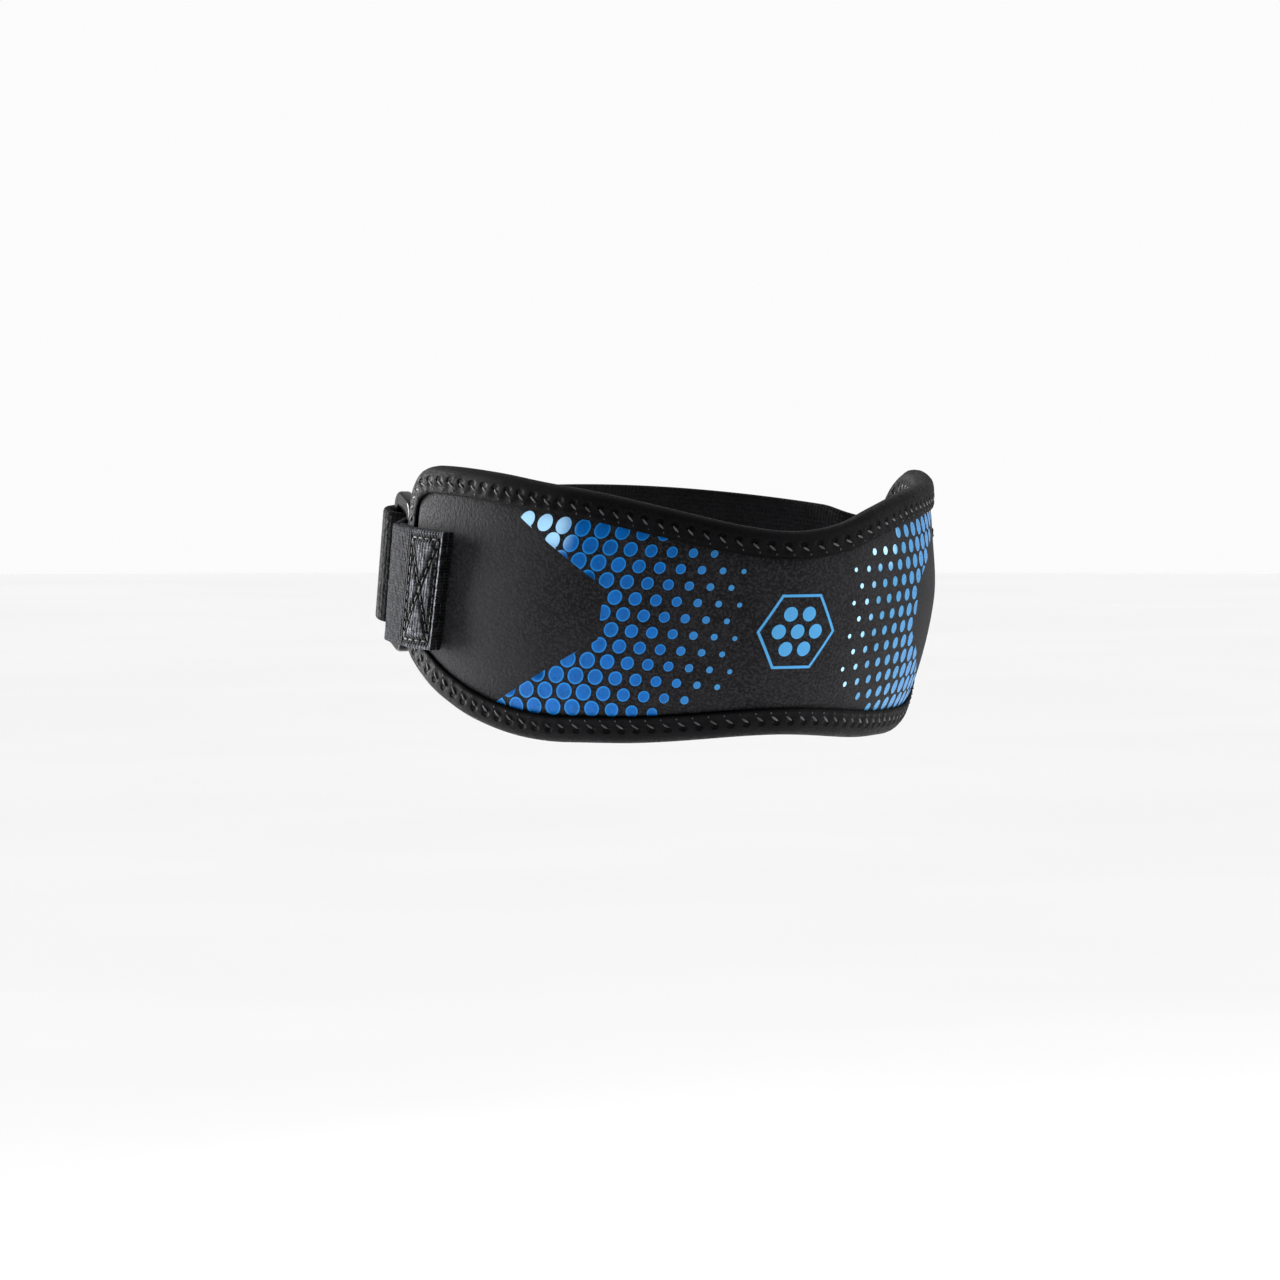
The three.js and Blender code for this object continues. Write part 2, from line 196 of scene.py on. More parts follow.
# Camera: the photograph's angle, its size of a pixel and how far the part lies from its middle.
CAMERA_TURN = 26.15
CAMERA_RISE = 2.0
CAMERA_DISTANCE = 1.6
PHOTO_PIXELS = 1280
PIXEL_MM = 0.243
PHOTO_SHIFT = (-44.7, -38.2)
SENSOR_WIDTH = 36


class StrapSizes(bpy.types.PropertyGroup):
    """Sizes that a maker would change."""

    pad_length: bpy.props.FloatProperty(
        name="Pad Length", description="Length of the pad, laid flat",
        default=236 * MM, unit="LENGTH", subtype="DISTANCE")
    pad_height: bpy.props.FloatProperty(
        name="Pad Height", description="Full height of the pad at its ends",
        default=66 * MM, unit="LENGTH", subtype="DISTANCE")
    tape_width: bpy.props.FloatProperty(
        name="Tape Width", description="How far the edge tape reaches over the pad",
        default=6.6 * MM, unit="LENGTH", subtype="DISTANCE")
    puff: bpy.props.FloatProperty(
        name="Puff", description="How far the pad swells out beside its edge tape",
        default=0.45 * MM, unit="LENGTH", subtype="DISTANCE")
    web_width: bpy.props.FloatProperty(
        name="Webbing Width", description="Width of the webbing that holds the ring",
        default=29.5 * MM, unit="LENGTH", subtype="DISTANCE")
    strap_width: bpy.props.FloatProperty(
        name="Strap Width", description="Width of the strap",
        default=28 * MM, unit="LENGTH", subtype="DISTANCE")
    emblem_radius: bpy.props.FloatProperty(
        name="Emblem Radius", description="Half the width of the emblem's outline",
        default=10.2 * MM, unit="LENGTH", subtype="DISTANCE")
    floor_drop: bpy.props.FloatProperty(
        name="Floor Drop", description="How far the floor lies below the strap's middle",
        default=0.42, unit="LENGTH", subtype="DISTANCE")


class StrapColours(bpy.types.PropertyGroup):
    """Colours that a maker would change."""

    cloth: bpy.props.FloatVectorProperty(
        name="Cloth", description="Knitted face of the pad", subtype="COLOR",
        default=(0.0046, 0.0046, 0.0052))
    tape: bpy.props.FloatVectorProperty(
        name="Tape", description="Edge tape", subtype="COLOR",
        default=(0.0018, 0.0018, 0.0021))
    thread: bpy.props.FloatVectorProperty(
        name="Thread", description="Stitches", subtype="COLOR",
        default=(0.034, 0.034, 0.036))
    webbing: bpy.props.FloatVectorProperty(
        name="Webbing", description="Webbing that holds the ring", subtype="COLOR",
        default=(0.0066, 0.0069, 0.0078))
    strap: bpy.props.FloatVectorProperty(
        name="Strap", description="Strap", subtype="COLOR",
        default=(0.0026, 0.0026, 0.003))
    plastic: bpy.props.FloatVectorProperty(
        name="Plastic", description="Ring", subtype="COLOR",
        default=(0.0025, 0.0025, 0.0028))
    film: bpy.props.FloatVectorProperty(
        name="Film", description="Printed dots", subtype="COLOR",
        default=(0.0002, 0.067, 0.255))
    film_rim: bpy.props.FloatVectorProperty(
        name="Film Rim", description="Rim of the printed dots", subtype="COLOR",
        default=(0.015, 0.2, 0.52))
    # the print's pale parts, and the painted highlight on its far side
    pale_and_highlit_film: bpy.props.FloatVectorProperty(
        name="Pale Film", description="Print where it pales", subtype="COLOR",
        default=(0.085, 0.35, 0.62))
    floor: bpy.props.FloatVectorProperty(
        name="Floor", description="Floor", subtype="COLOR",
        default=(0.97, 0.97, 0.97))


def sizes():
    return bpy.context.scene.patella_sizes


def colours():
    return bpy.context.scene.patella_colours


# Curves that the pieces follow

def smooth(share):
    share = min(max(share, 0.0), 1.0)
    return share * share * (3 - 2 * share)


def mix(start, end, share):
    return start + (end - start) * share


def table_at(rows, column, place):
    """Smooth value of a table's column at a place, by cubic curves through its rows."""
    last = len(rows) - 2
    index = min(max(bisect.bisect_right([row[0] for row in rows], place) - 1, 0), last)

    def slope(row):
        before = rows[max(row - 1, 0)]
        after = rows[min(row + 1, len(rows) - 1)]
        return (after[column] - before[column]) / (after[0] - before[0])

    span = rows[index + 1][0] - rows[index][0]
    share = min(max((place - rows[index][0]) / span, 0.0), 1.0)
    start = rows[index][column]
    rise = rows[index + 1][column] - start
    lead = slope(index) * span - rise
    trail = slope(index + 1) * span - rise
    return start + share * rise + share * (1 - share) * ((1 - share) * lead - share * trail)


def follow_plan(length):
    """Point and turn reached by following one half of the plan for a length."""
    across = back = turn = 0.0
    for radius, degrees in PLAN_ARCS:
        step = min(length / radius, math.radians(degrees))
        across += radius * (math.sin(turn + step) - math.sin(turn))
        back += radius * (math.cos(turn) - math.cos(turn + step))
        turn += step
        length -= radius * step
        if length <= 1e-9:
            return across, back, turn
    radius = across / math.sin(turn)
    step = length / radius
    across += radius * (math.sin(turn + step) - math.sin(turn))
    back += radius * (math.cos(turn) - math.cos(turn + step))
    return across, back, turn + step


def half_girth():
    arcs = sum(radius * math.radians(degrees) for radius, degrees in PLAN_ARCS)
    across, _, turn = follow_plan(arcs)
    return arcs + across / math.sin(turn) * (math.pi - turn)


HALF_GIRTH = half_girth()


def plan_at(along):
    """Point of the plan and its outward direction at a length round from the front centre."""
    place = (along + HALF_GIRTH) % (2 * HALF_GIRTH) - HALF_GIRTH
    across, back, turn = follow_plan(abs(place))
    side = -1.0 if place < 0 else 1.0
    return side * across, back - FRONT_REACH, side * math.sin(turn), -math.cos(turn)


def wall(along, up, out=0.0):
    """Point of the loop: along its girth, up from the lower edge, out from the pad's face."""
    x, y, nx, ny = plan_at(along)
    rise = up - PLAN_HEIGHT
    grow = 1 + rise / CONE_HEIGHT
    fade = max(0.0, 1 - (along / BOW_REACH) ** 4)
    drawn = smooth(rise / SIDE_RISE) * math.sin(math.pi * min(max(along / SIDE_REACH, 0.0), 1.0)) ** 2
    offset = out - BOW * fade * ((up - BOW_HEIGHT) / BOW_HEIGHT) ** 2 - SIDE_DRAW * drawn
    return Vector((x * grow + nx * offset, y * grow + ny * offset - LEAN * rise, rise))


def wall_up(along, up):
    return (wall(along, up + MM) - wall(along, up - MM)).normalized()


def half_length():
    return sizes().pad_length / 2


def corner_drop(radius, distance):
    short = max(0.0, radius - distance)
    return radius - math.sqrt(max(0.0, radius ** 2 - short ** 2))


def pad_top(along, inset):
    reach = half_length() - inset

    def edge(place):
        return sizes().pad_height * table_at(UPPER_EDGE, 1, place / half_length())

    slope = (edge(along + 0.5 * MM) - edge(along - 0.5 * MM)) / MM
    return edge(along) - inset * math.hypot(1, slope) - corner_drop(TOP_CORNER - inset, reach - abs(along))


def pad_foot(along, inset):
    reach = half_length() - inset

    def edge(place):
        sweep = max(0.0, (abs(place) - SWEEP_START) / (half_length() - SWEEP_START))
        arch = max(0.0, 1 - abs(place) / ARCH_REACH)
        return SWEEP_HEIGHT * sweep ** 2 + ARCH_HEIGHT * smooth(arch)

    slope = (edge(along + 0.5 * MM) - edge(along - 0.5 * MM)) / MM
    drop = corner_drop(LOWER_CORNER - inset, reach - abs(along))
    blend = 1 - corner_drop(1, (reach - abs(along)) / LOWER_CORNER)
    return edge(along) + inset * mix(1, math.hypot(1, slope), blend) + drop * 0.55


def pad_stations(inset, steps, corner_steps):
    """Places along the pad, closer together where its corners turn."""
    reach = half_length() - inset
    corner = TOP_CORNER - inset
    ends = [
        -reach + corner * (1 - math.cos(step / corner_steps * math.pi / 2))
        for step in range(corner_steps)
    ]
    middle = [mix(-(reach - corner), reach - corner, step / steps) for step in range(steps + 1)]
    return ends + middle + [-place for place in reversed(ends)]


def pad_out(along, up):
    """How far the pad's face stands out: foam swells beside the tape and is pressed flat under it."""
    sewn = min(along - (half_length() - TAB_LENGTH), sizes().strap_width / 2 - abs(up - TAB_HEIGHT - MM))
    if sewn > -3 * MM:
        return mix(face_out(along, up), -TAB_PRESS - 0.35 * MM, smooth((sewn + 3 * MM) / (3 * MM)))
    return face_out(along, up)


def face_out(along, up):
    from_end = half_length() - abs(along)
    margin = min(pad_top(along, 0) - up, up - pad_foot(along, 0), from_end) - sizes().tape_width
    if margin < 0:
        return -0.25 * MM * smooth(-margin / (2 * MM))
    swell = sizes().puff * (1 - math.exp(-margin / (1.6 * MM)))
    return swell + FACE_RIPPLE * smooth(margin / (6 * MM)) * noise.noise(Vector((along, 0, up)) / (17 * MM))


# Path of the ring, the webbing and the strap

EYE_RADIUS = RING_BAR / 2 + FIT + EYE_SLACK + WEB_THICKNESS / 2
FOLD_RADIUS = RING_BAR / 2 + FIT + FOLD_SLACK + STRAP_THICKNESS / 2
BAR_SPACING = RING_SLOT_WIDTH + RING_BAR


def front_bar():
    return -(half_length() + RING_STAND_OFF + EYE_RADIUS + WEB_THICKNESS / 2)


def rear_bar():
    return front_bar() - BAR_SPACING


def ring_axes():
    """Middle of the ring, the way the strap pulls, the way its bars run and the way it faces."""
    bar = wall_up(front_bar(), RING_HEIGHT)
    _, _, nx, ny = plan_at(-RING_FACE_PLACE * half_length())
    face = Vector((nx, ny, 0))
    face = (face - bar * face.dot(bar)).normalized()
    pull = face.cross(bar).normalized()
    rise = pull.z * BAR_SPACING / 2
    middle = wall(front_bar(), RING_HEIGHT - rise, RING_OUT) + pull * (BAR_SPACING / 2)
    return middle, pull, bar, face


def strap_height(along):
    """Height of the strap's middle: nearly level on the tabs, then rising to the back."""
    _, pull, _, _ = ring_axes()
    rise = pull.z * BAR_SPACING / 2
    reach = min(abs(along), 2 * HALF_GIRTH - abs(along))
    tab_end = half_length() - TAB_LENGTH
    bar, fold = -front_bar(), -rear_bar()
    if reach < bar:
        return TAB_HEIGHT + (RING_HEIGHT - rise - TAB_HEIGHT) / (bar - tab_end) * (reach - tab_end)
    if reach < fold:
        return mix(RING_HEIGHT - rise, RING_HEIGHT + rise, (reach - bar) / BAR_SPACING)
    share = (reach - fold) / (HALF_GIRTH - fold)
    return mix(RING_HEIGHT + rise, STRAP_BACK_HEIGHT, math.sin(share * math.pi / 2))


def tab_out(reach, start, thickness):
    """How far out a sewn tab's middle lies: on the pad's face at its cut end, then on the tape."""
    climb = smooth((reach - (half_length() - TAB_LENGTH) - TAB_FLAT) / TAB_STEP)
    return mix(start, FIT + TAPE_GAP + TAPE_THICKNESS, climb) + thickness / 2


def along_wall(start, end, steps, out_at):
    """Stations along the loop's wall at the strap's height: middle and upward direction."""
    stations = []
    for step in range(steps + 1):
        along = mix(start, end, step / steps)
        up = strap_height(along)
        stations.append((wall(along, up, out_at(along)), wall_up(along, up)))
    return stations


def touch_angle(point, bar_place, radius, side):
    """Angle round a bar at which a straight run from a point touches it."""
    middle, pull, _, face = ring_axes()
    back = (point - middle).dot(pull) - bar_place
    out = (point - middle).dot(face)
    return math.atan2(out, back) + side * math.acos(radius / math.hypot(back, out))


def round_bar(bar_place, radius, before, after, side, steps):
    """Stations round a bar, between the touching points of the runs from before and to after it."""
    middle, pull, bar, face = ring_axes()
    start = touch_angle(before[0], bar_place, radius, side)
    end = touch_angle(after[0], bar_place, radius, -side)
    sweep = (side * (end - start)) % (2 * math.pi)
    stations = []
    for step in range(steps + 1):
        angle = start + side * sweep * step / steps
        centre = middle + pull * (bar_place + radius * math.cos(angle)) + face * (radius * math.sin(angle))
        stations.append((centre, bar))
    return stations


def between(start, end, steps):
    """Stations of a straight run, without its ends."""
    stations = []
    for step in range(1, steps):
        share = step / steps
        stations.append((start[0].lerp(end[0], share), start[1].lerp(end[1], share).normalized()))
    return stations


def webbing_path():
    tab_end = half_length() - TAB_LENGTH
    start = sizes().puff + FACE_RIPPLE

    def ply(lift):
        return along_wall(-tab_end, -(half_length() + FIT), 30, lambda along: tab_out(
            -along, start, WEB_THICKNESS) + lift)

    lower = ply(0.0)
    upper = ply(WEB_THICKNESS + FIT)[::-1]
    eye = round_bar(-BAR_SPACING / 2, EYE_RADIUS, lower[-1], upper[0], 1, 36)
    down = between(lower[-1], eye[0], 5)
    back = between(eye[-1], upper[0], 5)
    return measured(lower + down + eye + back + upper)


def strap_outs():
    """How far out the strap's middle lies: under the patch and over it."""
    under = -(PAD_THICKNESS + TAPE_GAP + TAPE_THICKNESS) + STRAP_THICKNESS / 2
    return under, under + STRAP_THICKNESS + PATCH_THICKNESS + 2 * FIT


def strap_path():
    under_out, over_out = strap_outs()
    fold_place = -rear_bar()
    back_start = half_length() + STRAP_OVERHANG
    back_end = 2 * HALF_GIRTH - fold_place - SETTLE_LENGTH
    on_tape = tab_out(back_start, -TAB_PRESS, STRAP_THICKNESS)
    sewn = along_wall(half_length() - TAB_LENGTH, back_start, 26, lambda along: tab_out(
        along, -TAB_PRESS, STRAP_THICKNESS))
    under = along_wall(back_start, back_end, 90, lambda along: mix(
        on_tape, under_out, smooth((along - back_start) / SETTLE_LENGTH)))
    over = along_wall(
        -fold_place - SETTLE_LENGTH, -(fold_place + STRAP_END_LENGTH), 50, lambda along: over_out)
    fold = round_bar(BAR_SPACING / 2, FOLD_RADIUS, under[-1], over[0], -1, 36)
    to_ring = between(under[-1], fold[0], 10)
    from_ring = between(fold[-1], over[0], 10)
    return measured(sewn + under[1:] + to_ring + fold + from_ring + over)


def patch_path():
    under_out, _ = strap_outs()
    out = under_out + STRAP_THICKNESS / 2 + FIT + PATCH_THICKNESS / 2
    end = -rear_bar() + STRAP_END_LENGTH - PATCH_INSET
    return measured(along_wall(-(end - PATCH_LENGTH), -end, 40, lambda along: out))


def measured(stations):
    """A path: each station's distance from the first, middle, upward and outward direction."""
    path = []
    distance = 0.0
    for index, (centre, up) in enumerate(stations):
        before = stations[max(index - 1, 0)][0]
        after = stations[min(index + 1, len(stations) - 1)][0]
        if index:
            distance += (centre - stations[index - 1][0]).length
        path.append((distance, centre, up, (after - before).cross(up).normalized()))
    return path


def path_at(path, distance):
    """Middle, upward and outward direction at a distance along a path."""
    index = min(max(bisect.bisect_right([station[0] for station in path], distance) - 1, 0), len(path) - 2)
    start, end = path[index], path[index + 1]
    share = (distance - start[0]) / (end[0] - start[0])
    return (
        start[1].lerp(end[1], share),
        start[2].lerp(end[2], share).normalized(),
        start[3].lerp(end[3], share).normalized(),
    )


# Outline of the pad, once round

def tape_outline():
    """Even places round the pad's edge: distance, point and inward direction in its flat lay."""
    stations = pad_stations(0, 240, 24)
    foot = [(along, pad_foot(along, 0)) for along in reversed(stations)]
    top = [(along, pad_top(along, 0)) for along in stations]
    rough = []
    for start, end in zip(top + foot, (top + foot)[1:] + top[:1]):
        gap = math.dist(start, end)
        pieces = max(1, round(gap / (1.5 * MM)))
        for piece in range(pieces):
            share = piece / pieces
            rough.append((mix(start[0], end[0], share), mix(start[1], end[1], share)))
    lengths = [0.0]
    for start, end in zip(rough, rough[1:] + rough[:1]):
        lengths.append(lengths[-1] + math.dist(start, end))
    total = lengths[-1]
    stitches = round(total / TAPE_STITCH)
    steps = stitches * 8
    closed = rough + rough[:1]
    even = []
    for step in range(steps):
        distance = total * step / steps
        index = bisect.bisect_right(lengths, distance) - 1
        share = (distance - lengths[index]) / (lengths[index + 1] - lengths[index])
        even.append(Vector(closed[index]).lerp(Vector(closed[index + 1]), share))
    outline = []
    reach = 4
    for step, point in enumerate(even):
        toward = even[(step + reach) % steps] - even[step - reach]
        inward = Vector((toward.y, -toward.x)).normalized()
        outline.append((total * step / steps, point, inward))
    return total, stitches, outline


def tape_spread():
    """Share by which the chosen tape width spreads the section."""
    return sizes().tape_width / (TAPE_SECTION[0][1] * MM)


def tape_point(place, section):
    """Point of the tape's surface over a place of its outline, at a share of its section."""
    _, point, inward = place
    depth = table_at(TAPE_SECTION, 1, section) * MM * tape_spread()
    out = table_at(TAPE_SECTION, 2, section) * MM
    return wall(point.x + inward.x * depth, point.y + inward.y * depth, out)


# Meshes

def grid(columns, rows):
    """Flat sheet from 0 to 1 along X and Z, with its quads' columns and rows given."""
    bm = bmesh.new()
    bmesh.ops.create_grid(bm, x_segments=columns, y_segments=rows, size=0.5)
    low = min(vert.co.x for vert in bm.verts)
    width = max(vert.co.x for vert in bm.verts) - low
    for vert in bm.verts:
        vert.co = Vector(((vert.co.x - low) / width, 0, (vert.co.y - low) / width))
    return bm


def thicken(bm, offset):
    """Gives a flat sheet the thickness of an offset, half to each side, and turns its faces out."""
    bmesh.ops.translate(bm, verts=bm.verts, vec=-Vector(offset) / 2)
    made = bmesh.ops.extrude_face_region(bm, geom=bm.faces[:])
    far = [item for item in made["geom"] if isinstance(item, bmesh.types.BMVert)]
    bmesh.ops.translate(bm, verts=far, vec=offset)
    bmesh.ops.recalc_face_normals(bm, faces=bm.faces)


def inset_middle(bm, thickness):
    """Insets a flat face and gives the face left in its middle."""
    bmesh.ops.inset_region(
        bm, faces=bm.faces[:], thickness=thickness, use_boundary=True, use_even_offset=True)
    return min(bm.faces, key=lambda face: face.calc_center_median().length)


def round_edges(bm, edges, radius, segments):
    bmesh.ops.bevel(
        bm, geom=edges, offset=radius, offset_type="OFFSET", segments=segments, profile=0.5,
        affect="EDGES", material=-1)


def keep_lay(bm):
    """Stores each corner's flat place as a UV map, so that patterns follow the cloth."""
    layer = bm.loops.layers.uv.new("lay")
    for face in bm.faces:
        for loop in face.loops:
            loop[layer].uv = (loop.vert.co.x, loop.vert.co.z)


def add_object(name, data):
    made = bpy.data.objects.new(name, data)
    bpy.context.scene.collection.objects.link(made)
    return made


def add_mesh(bm, name, material):
    mesh = bpy.data.meshes.new(name)
    bm.to_mesh(mesh)
    bm.free()
    mesh.materials.append(material)
    return add_object(name, mesh)


def finished(bm, name, material, replaced=()):
    """Turns a mesh into a piece that rides on the part's body."""
    for face in bm.faces:
        face.smooth = True
    piece = add_mesh(bm, name, material)
    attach(piece, "root")
    if replaced:
        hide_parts(*replaced)
    return piece


def ribbon(path, width, thickness, edge, end_corner=0.0, pitch=1.1 * MM, relief=None):
    """Band bent along a path, its long edges soft, with a rounded far end or a relief where asked."""
    length = path[-1][0]
    bm = grid(round(length / pitch), round(width / pitch / 1.5))
    bmesh.ops.scale(bm, verts=bm.verts, vec=(length, 1, width))
    bmesh.ops.translate(bm, verts=bm.verts, vec=(0, 0, -width / 2))
    thicken(bm, (0, thickness, 0))
    long_edges = [
        item for item in bm.edges
        if abs(abs(item.verts[0].co.z) - width / 2) < 1e-6
        and abs(item.verts[0].co.z - item.verts[1].co.z) < 1e-6
        and abs(item.verts[0].co.y - item.verts[1].co.y) < 1e-6
    ]
    round_edges(bm, long_edges, edge, 3)
    for vert in bm.verts:
        if end_corner and vert.co.x > length - end_corner:
            vert.co.z *= 1 - corner_drop(end_corner, length - vert.co.x) / (width / 2)
    keep_lay(bm)
    raised = {vert: relief(vert.co.x, vert.co.z) if relief and vert.co.y > 0 else 0.0 for vert in bm.verts}
    if relief:
        layer = bm.loops.layers.uv.new("relief")
        for face in bm.faces:
            for loop in face.loops:
                loop[layer].uv = (raised[loop.vert] / MM, 0)
    for vert in bm.verts:
        centre, up, out = path_at(path, vert.co.x)
        vert.co = centre + up * vert.co.z + out * (vert.co.y + raised[vert])
    bmesh.ops.recalc_face_normals(bm, faces=bm.faces)
    return bm


class Stitches:
    """Stitches of thread, each a low capsule that lies on the cloth."""

    def __init__(self):
        self.whole = bmesh.new()
        self.one = bmesh.new()
        bmesh.ops.create_uvsphere(self.one, u_segments=8, v_segments=6, radius=1)
        self.mesh = bpy.data.meshes.new("one_stitch")

    def add(self, start, end, out, radius):
        run = end - start
        along = run.normalized()
        out = (out - along * out.dot(along)).normalized()
        turn = Matrix((along, out.cross(along), out)).transposed().to_4x4()
        scale = Matrix.Diagonal((run.length / 2 + radius * 0.6, radius, radius * 0.85, 1))
        place = Matrix.Translation((start + end) / 2 + out * radius * 0.2) @ turn @ scale
        bmesh.ops.transform(self.one, matrix=place, verts=self.one.verts)
        self.one.to_mesh(self.mesh)
        self.whole.from_mesh(self.mesh)
        bmesh.ops.transform(self.one, matrix=place.inverted(), verts=self.one.verts)

    def finish(self, name, colour):
        self.one.free()
        bpy.data.meshes.remove(self.mesh)
        return finished(self.whole, name, thread_material(name, colour))


def stitch_line(stitches, surface, corners, pitch, radius):
    """Row of stitches through corners given in the flat lay, placed on a surface."""
    for start, end in zip(corners, corners[1:]):
        run = math.dist(start, end)
        count = max(1, round(run / pitch))
        for index in range(count):
            first = (index + 0.12) / count
            last = (index + 0.88) / count
            near, _ = surface(mix(start[0], end[0], first), mix(start[1], end[1], first))
            far, out = surface(mix(start[0], end[0], last), mix(start[1], end[1], last))
            stitches.add(near, far, out, radius)


def boxed_cross(left, right, width):
    """Corners of a sewn box with a cross in it, on a band of a width."""
    low = -width / 2 + SEAM_INSET
    high = width / 2 - SEAM_INSET
    return [
        (left, low), (right, low), (right, high), (left, high), (left, low),
        (right, high), (right, low), (left, high),
    ]


def closest_on(seam, place):
    """Point of a straight seam that is closest to a place."""
    run = seam[1] - seam[0]
    share = min(max((place - seam[0]).dot(run) / run.length_squared, 0.0), 1.0)
    return seam[0] + run * share


def outer_surface(path, place, lift):
    """Surface of a band, on the side that faces out of the loop at a place along it."""
    centre, _, out = path_at(path, place)
    side = math.copysign(1, out.dot(Vector((centre.x, centre.y, 0))))

    def surface(distance, across):
        centre, up, out = path_at(path, distance)
        return centre + up * across + out * side * lift, out * side

    return surface


# Materials

def add_node(tree, kind, inputs=None, **settings):
    made = tree.nodes.new(kind)
    for name, value in settings.items():
        setattr(made, name, value)
    for socket, value in (inputs or {}).items():
        if isinstance(value, bpy.types.NodeSocket):
            tree.links.new(value, made.inputs[socket])
        else:
            made.inputs[socket].default_value = value
    return made


def calc(tree, operation, first, second=0.0, third=0.0):
    return add_node(tree, "ShaderNodeMath", {0: first, 1: second, 2: third}, operation=operation).outputs[0]


def ranged(tree, value, low, high, to_low=0.0, to_high=1.0):
    made = add_node(
        tree, "ShaderNodeMapRange",
        {"Value": value, "From Min": low, "From Max": high, "To Min": to_low, "To Max": to_high},
        interpolation_type="SMOOTHSTEP")
    return made.outputs[0]


def blended(tree, share, first, second, amount=1.0):
    """Blend from a first colour to a second by a share, weakened by an amount."""
    if amount != 1:
        share = calc(tree, "MULTIPLY", share, amount)
    made = add_node(tree, "ShaderNodeMix", {"Factor": share}, data_type="RGBA")
    for socket, value in ((6, first), (7, second)):
        if isinstance(value, bpy.types.NodeSocket):
            tree.links.new(value, made.inputs[socket])
        else:
            made.inputs[socket].default_value = value
    return made.outputs[2]


def shade(colour, factor):
    """A colour made darker or paler, as a shader takes it."""
    return tuple(min(1.0, part * factor) for part in colour[:3]) + (1.0,)


def new_material(name, roughness, sheen=0.0, coat=0.0, specular=0.5):
    """Empty node material and its shader, with the values that are the same all over."""
    material = bpy.data.materials.new(name)
    material.use_nodes = True
    tree = material.node_tree
    shader = tree.nodes["Principled BSDF"]
    shader.inputs["Roughness"].default_value = roughness
    shader.inputs["Specular IOR Level"].default_value = specular
    shader.inputs["Sheen Weight"].default_value = sheen
    shader.inputs["Sheen Roughness"].default_value = 0.45
    shader.inputs["Sheen Tint"].default_value = (0.75, 0.76, 0.8, 1)
    shader.inputs["Coat Weight"].default_value = coat
    shader.inputs["Coat Roughness"].default_value = 0.22
    return material, tree, shader


def lay_parts(tree):
    """The cloth's own flat place: along and across, in metres."""
    uv = add_node(tree, "ShaderNodeUVMap", uv_map="lay")
    parts = add_node(tree, "ShaderNodeSeparateXYZ", {0: uv.outputs[0]})
    return parts.outputs[0], parts.outputs[1]


def cloth_noise(tree, where, scale, detail=3.0):
    made = add_node(tree, "ShaderNodeTexNoise", {"Vector": where, "Scale": scale, "Detail": detail})
    return made.outputs[0]


def object_place(tree):
    return add_node(tree, "ShaderNodeTexCoord").outputs["Object"]


def wave(tree, value, pitch):
    """Soft ridges from 0 to 1 with a pitch in metres."""
    turns = calc(tree, "MULTIPLY", value, 2 * math.pi / pitch)
    return calc(tree, "MULTIPLY_ADD", calc(tree, "SINE", turns), 0.5, 0.5)


def add_bump(tree, shader, height, depth, strength=1.0):
    bump = add_node(tree, "ShaderNodeBump", {"Height": height, "Distance": depth, "Strength": strength})
    tree.links.new(bump.outputs[0], shader.inputs["Normal"])


def knit_height(tree, along, across, wale, course):
    """Small V shaped loops of a knit: columns along, rows across."""
    column = calc(tree, "PINGPONG", along, wale / 2)
    lean = calc(tree, "MULTIPLY", column, 1.3)
    loops = wave(tree, calc(tree, "ADD", across, lean), course)
    rib = ranged(tree, column, 0.0, wale / 2, 0.35, 1.0)
    return calc(tree, "MULTIPLY", loops, rib)


def pad_cloth_material():
    """Knitted cloth, mottled and pilled, with its loops faint under the pile."""
    material, tree, shader = new_material("knitted_cloth", 0.82, sheen=0.015, specular=0.06)
    colour = colours().cloth
    along, across = lay_parts(tree)
    place = object_place(tree)
    knit = knit_height(tree, along, across, 0.62 * MM, 0.5 * MM)
    patches = ranged(tree, cloth_noise(tree, place, 95, 4), 0.34, 0.68)
    specks = ranged(tree, cloth_noise(tree, place, 1500, 3), 0.4, 0.66)
    patched = blended(tree, patches, shade(colour, 0.5), shade(colour, 1.1))
    mottled = blended(tree, specks, patched, shade(colour, 4.2), 0.8)
    yarn = blended(tree, knit, mottled, shade(colour, 2.0), 0.12)
    tree.links.new(yarn, shader.inputs["Base Color"])
    tree.links.new(ranged(tree, specks, 0, 1, 0.74, 0.92), shader.inputs["Roughness"])
    relief = calc(tree, "MULTIPLY_ADD", specks, 0.9, calc(tree, "MULTIPLY", knit, 0.4))
    add_bump(tree, shader, relief, 0.12 * MM, 0.8)
    return material


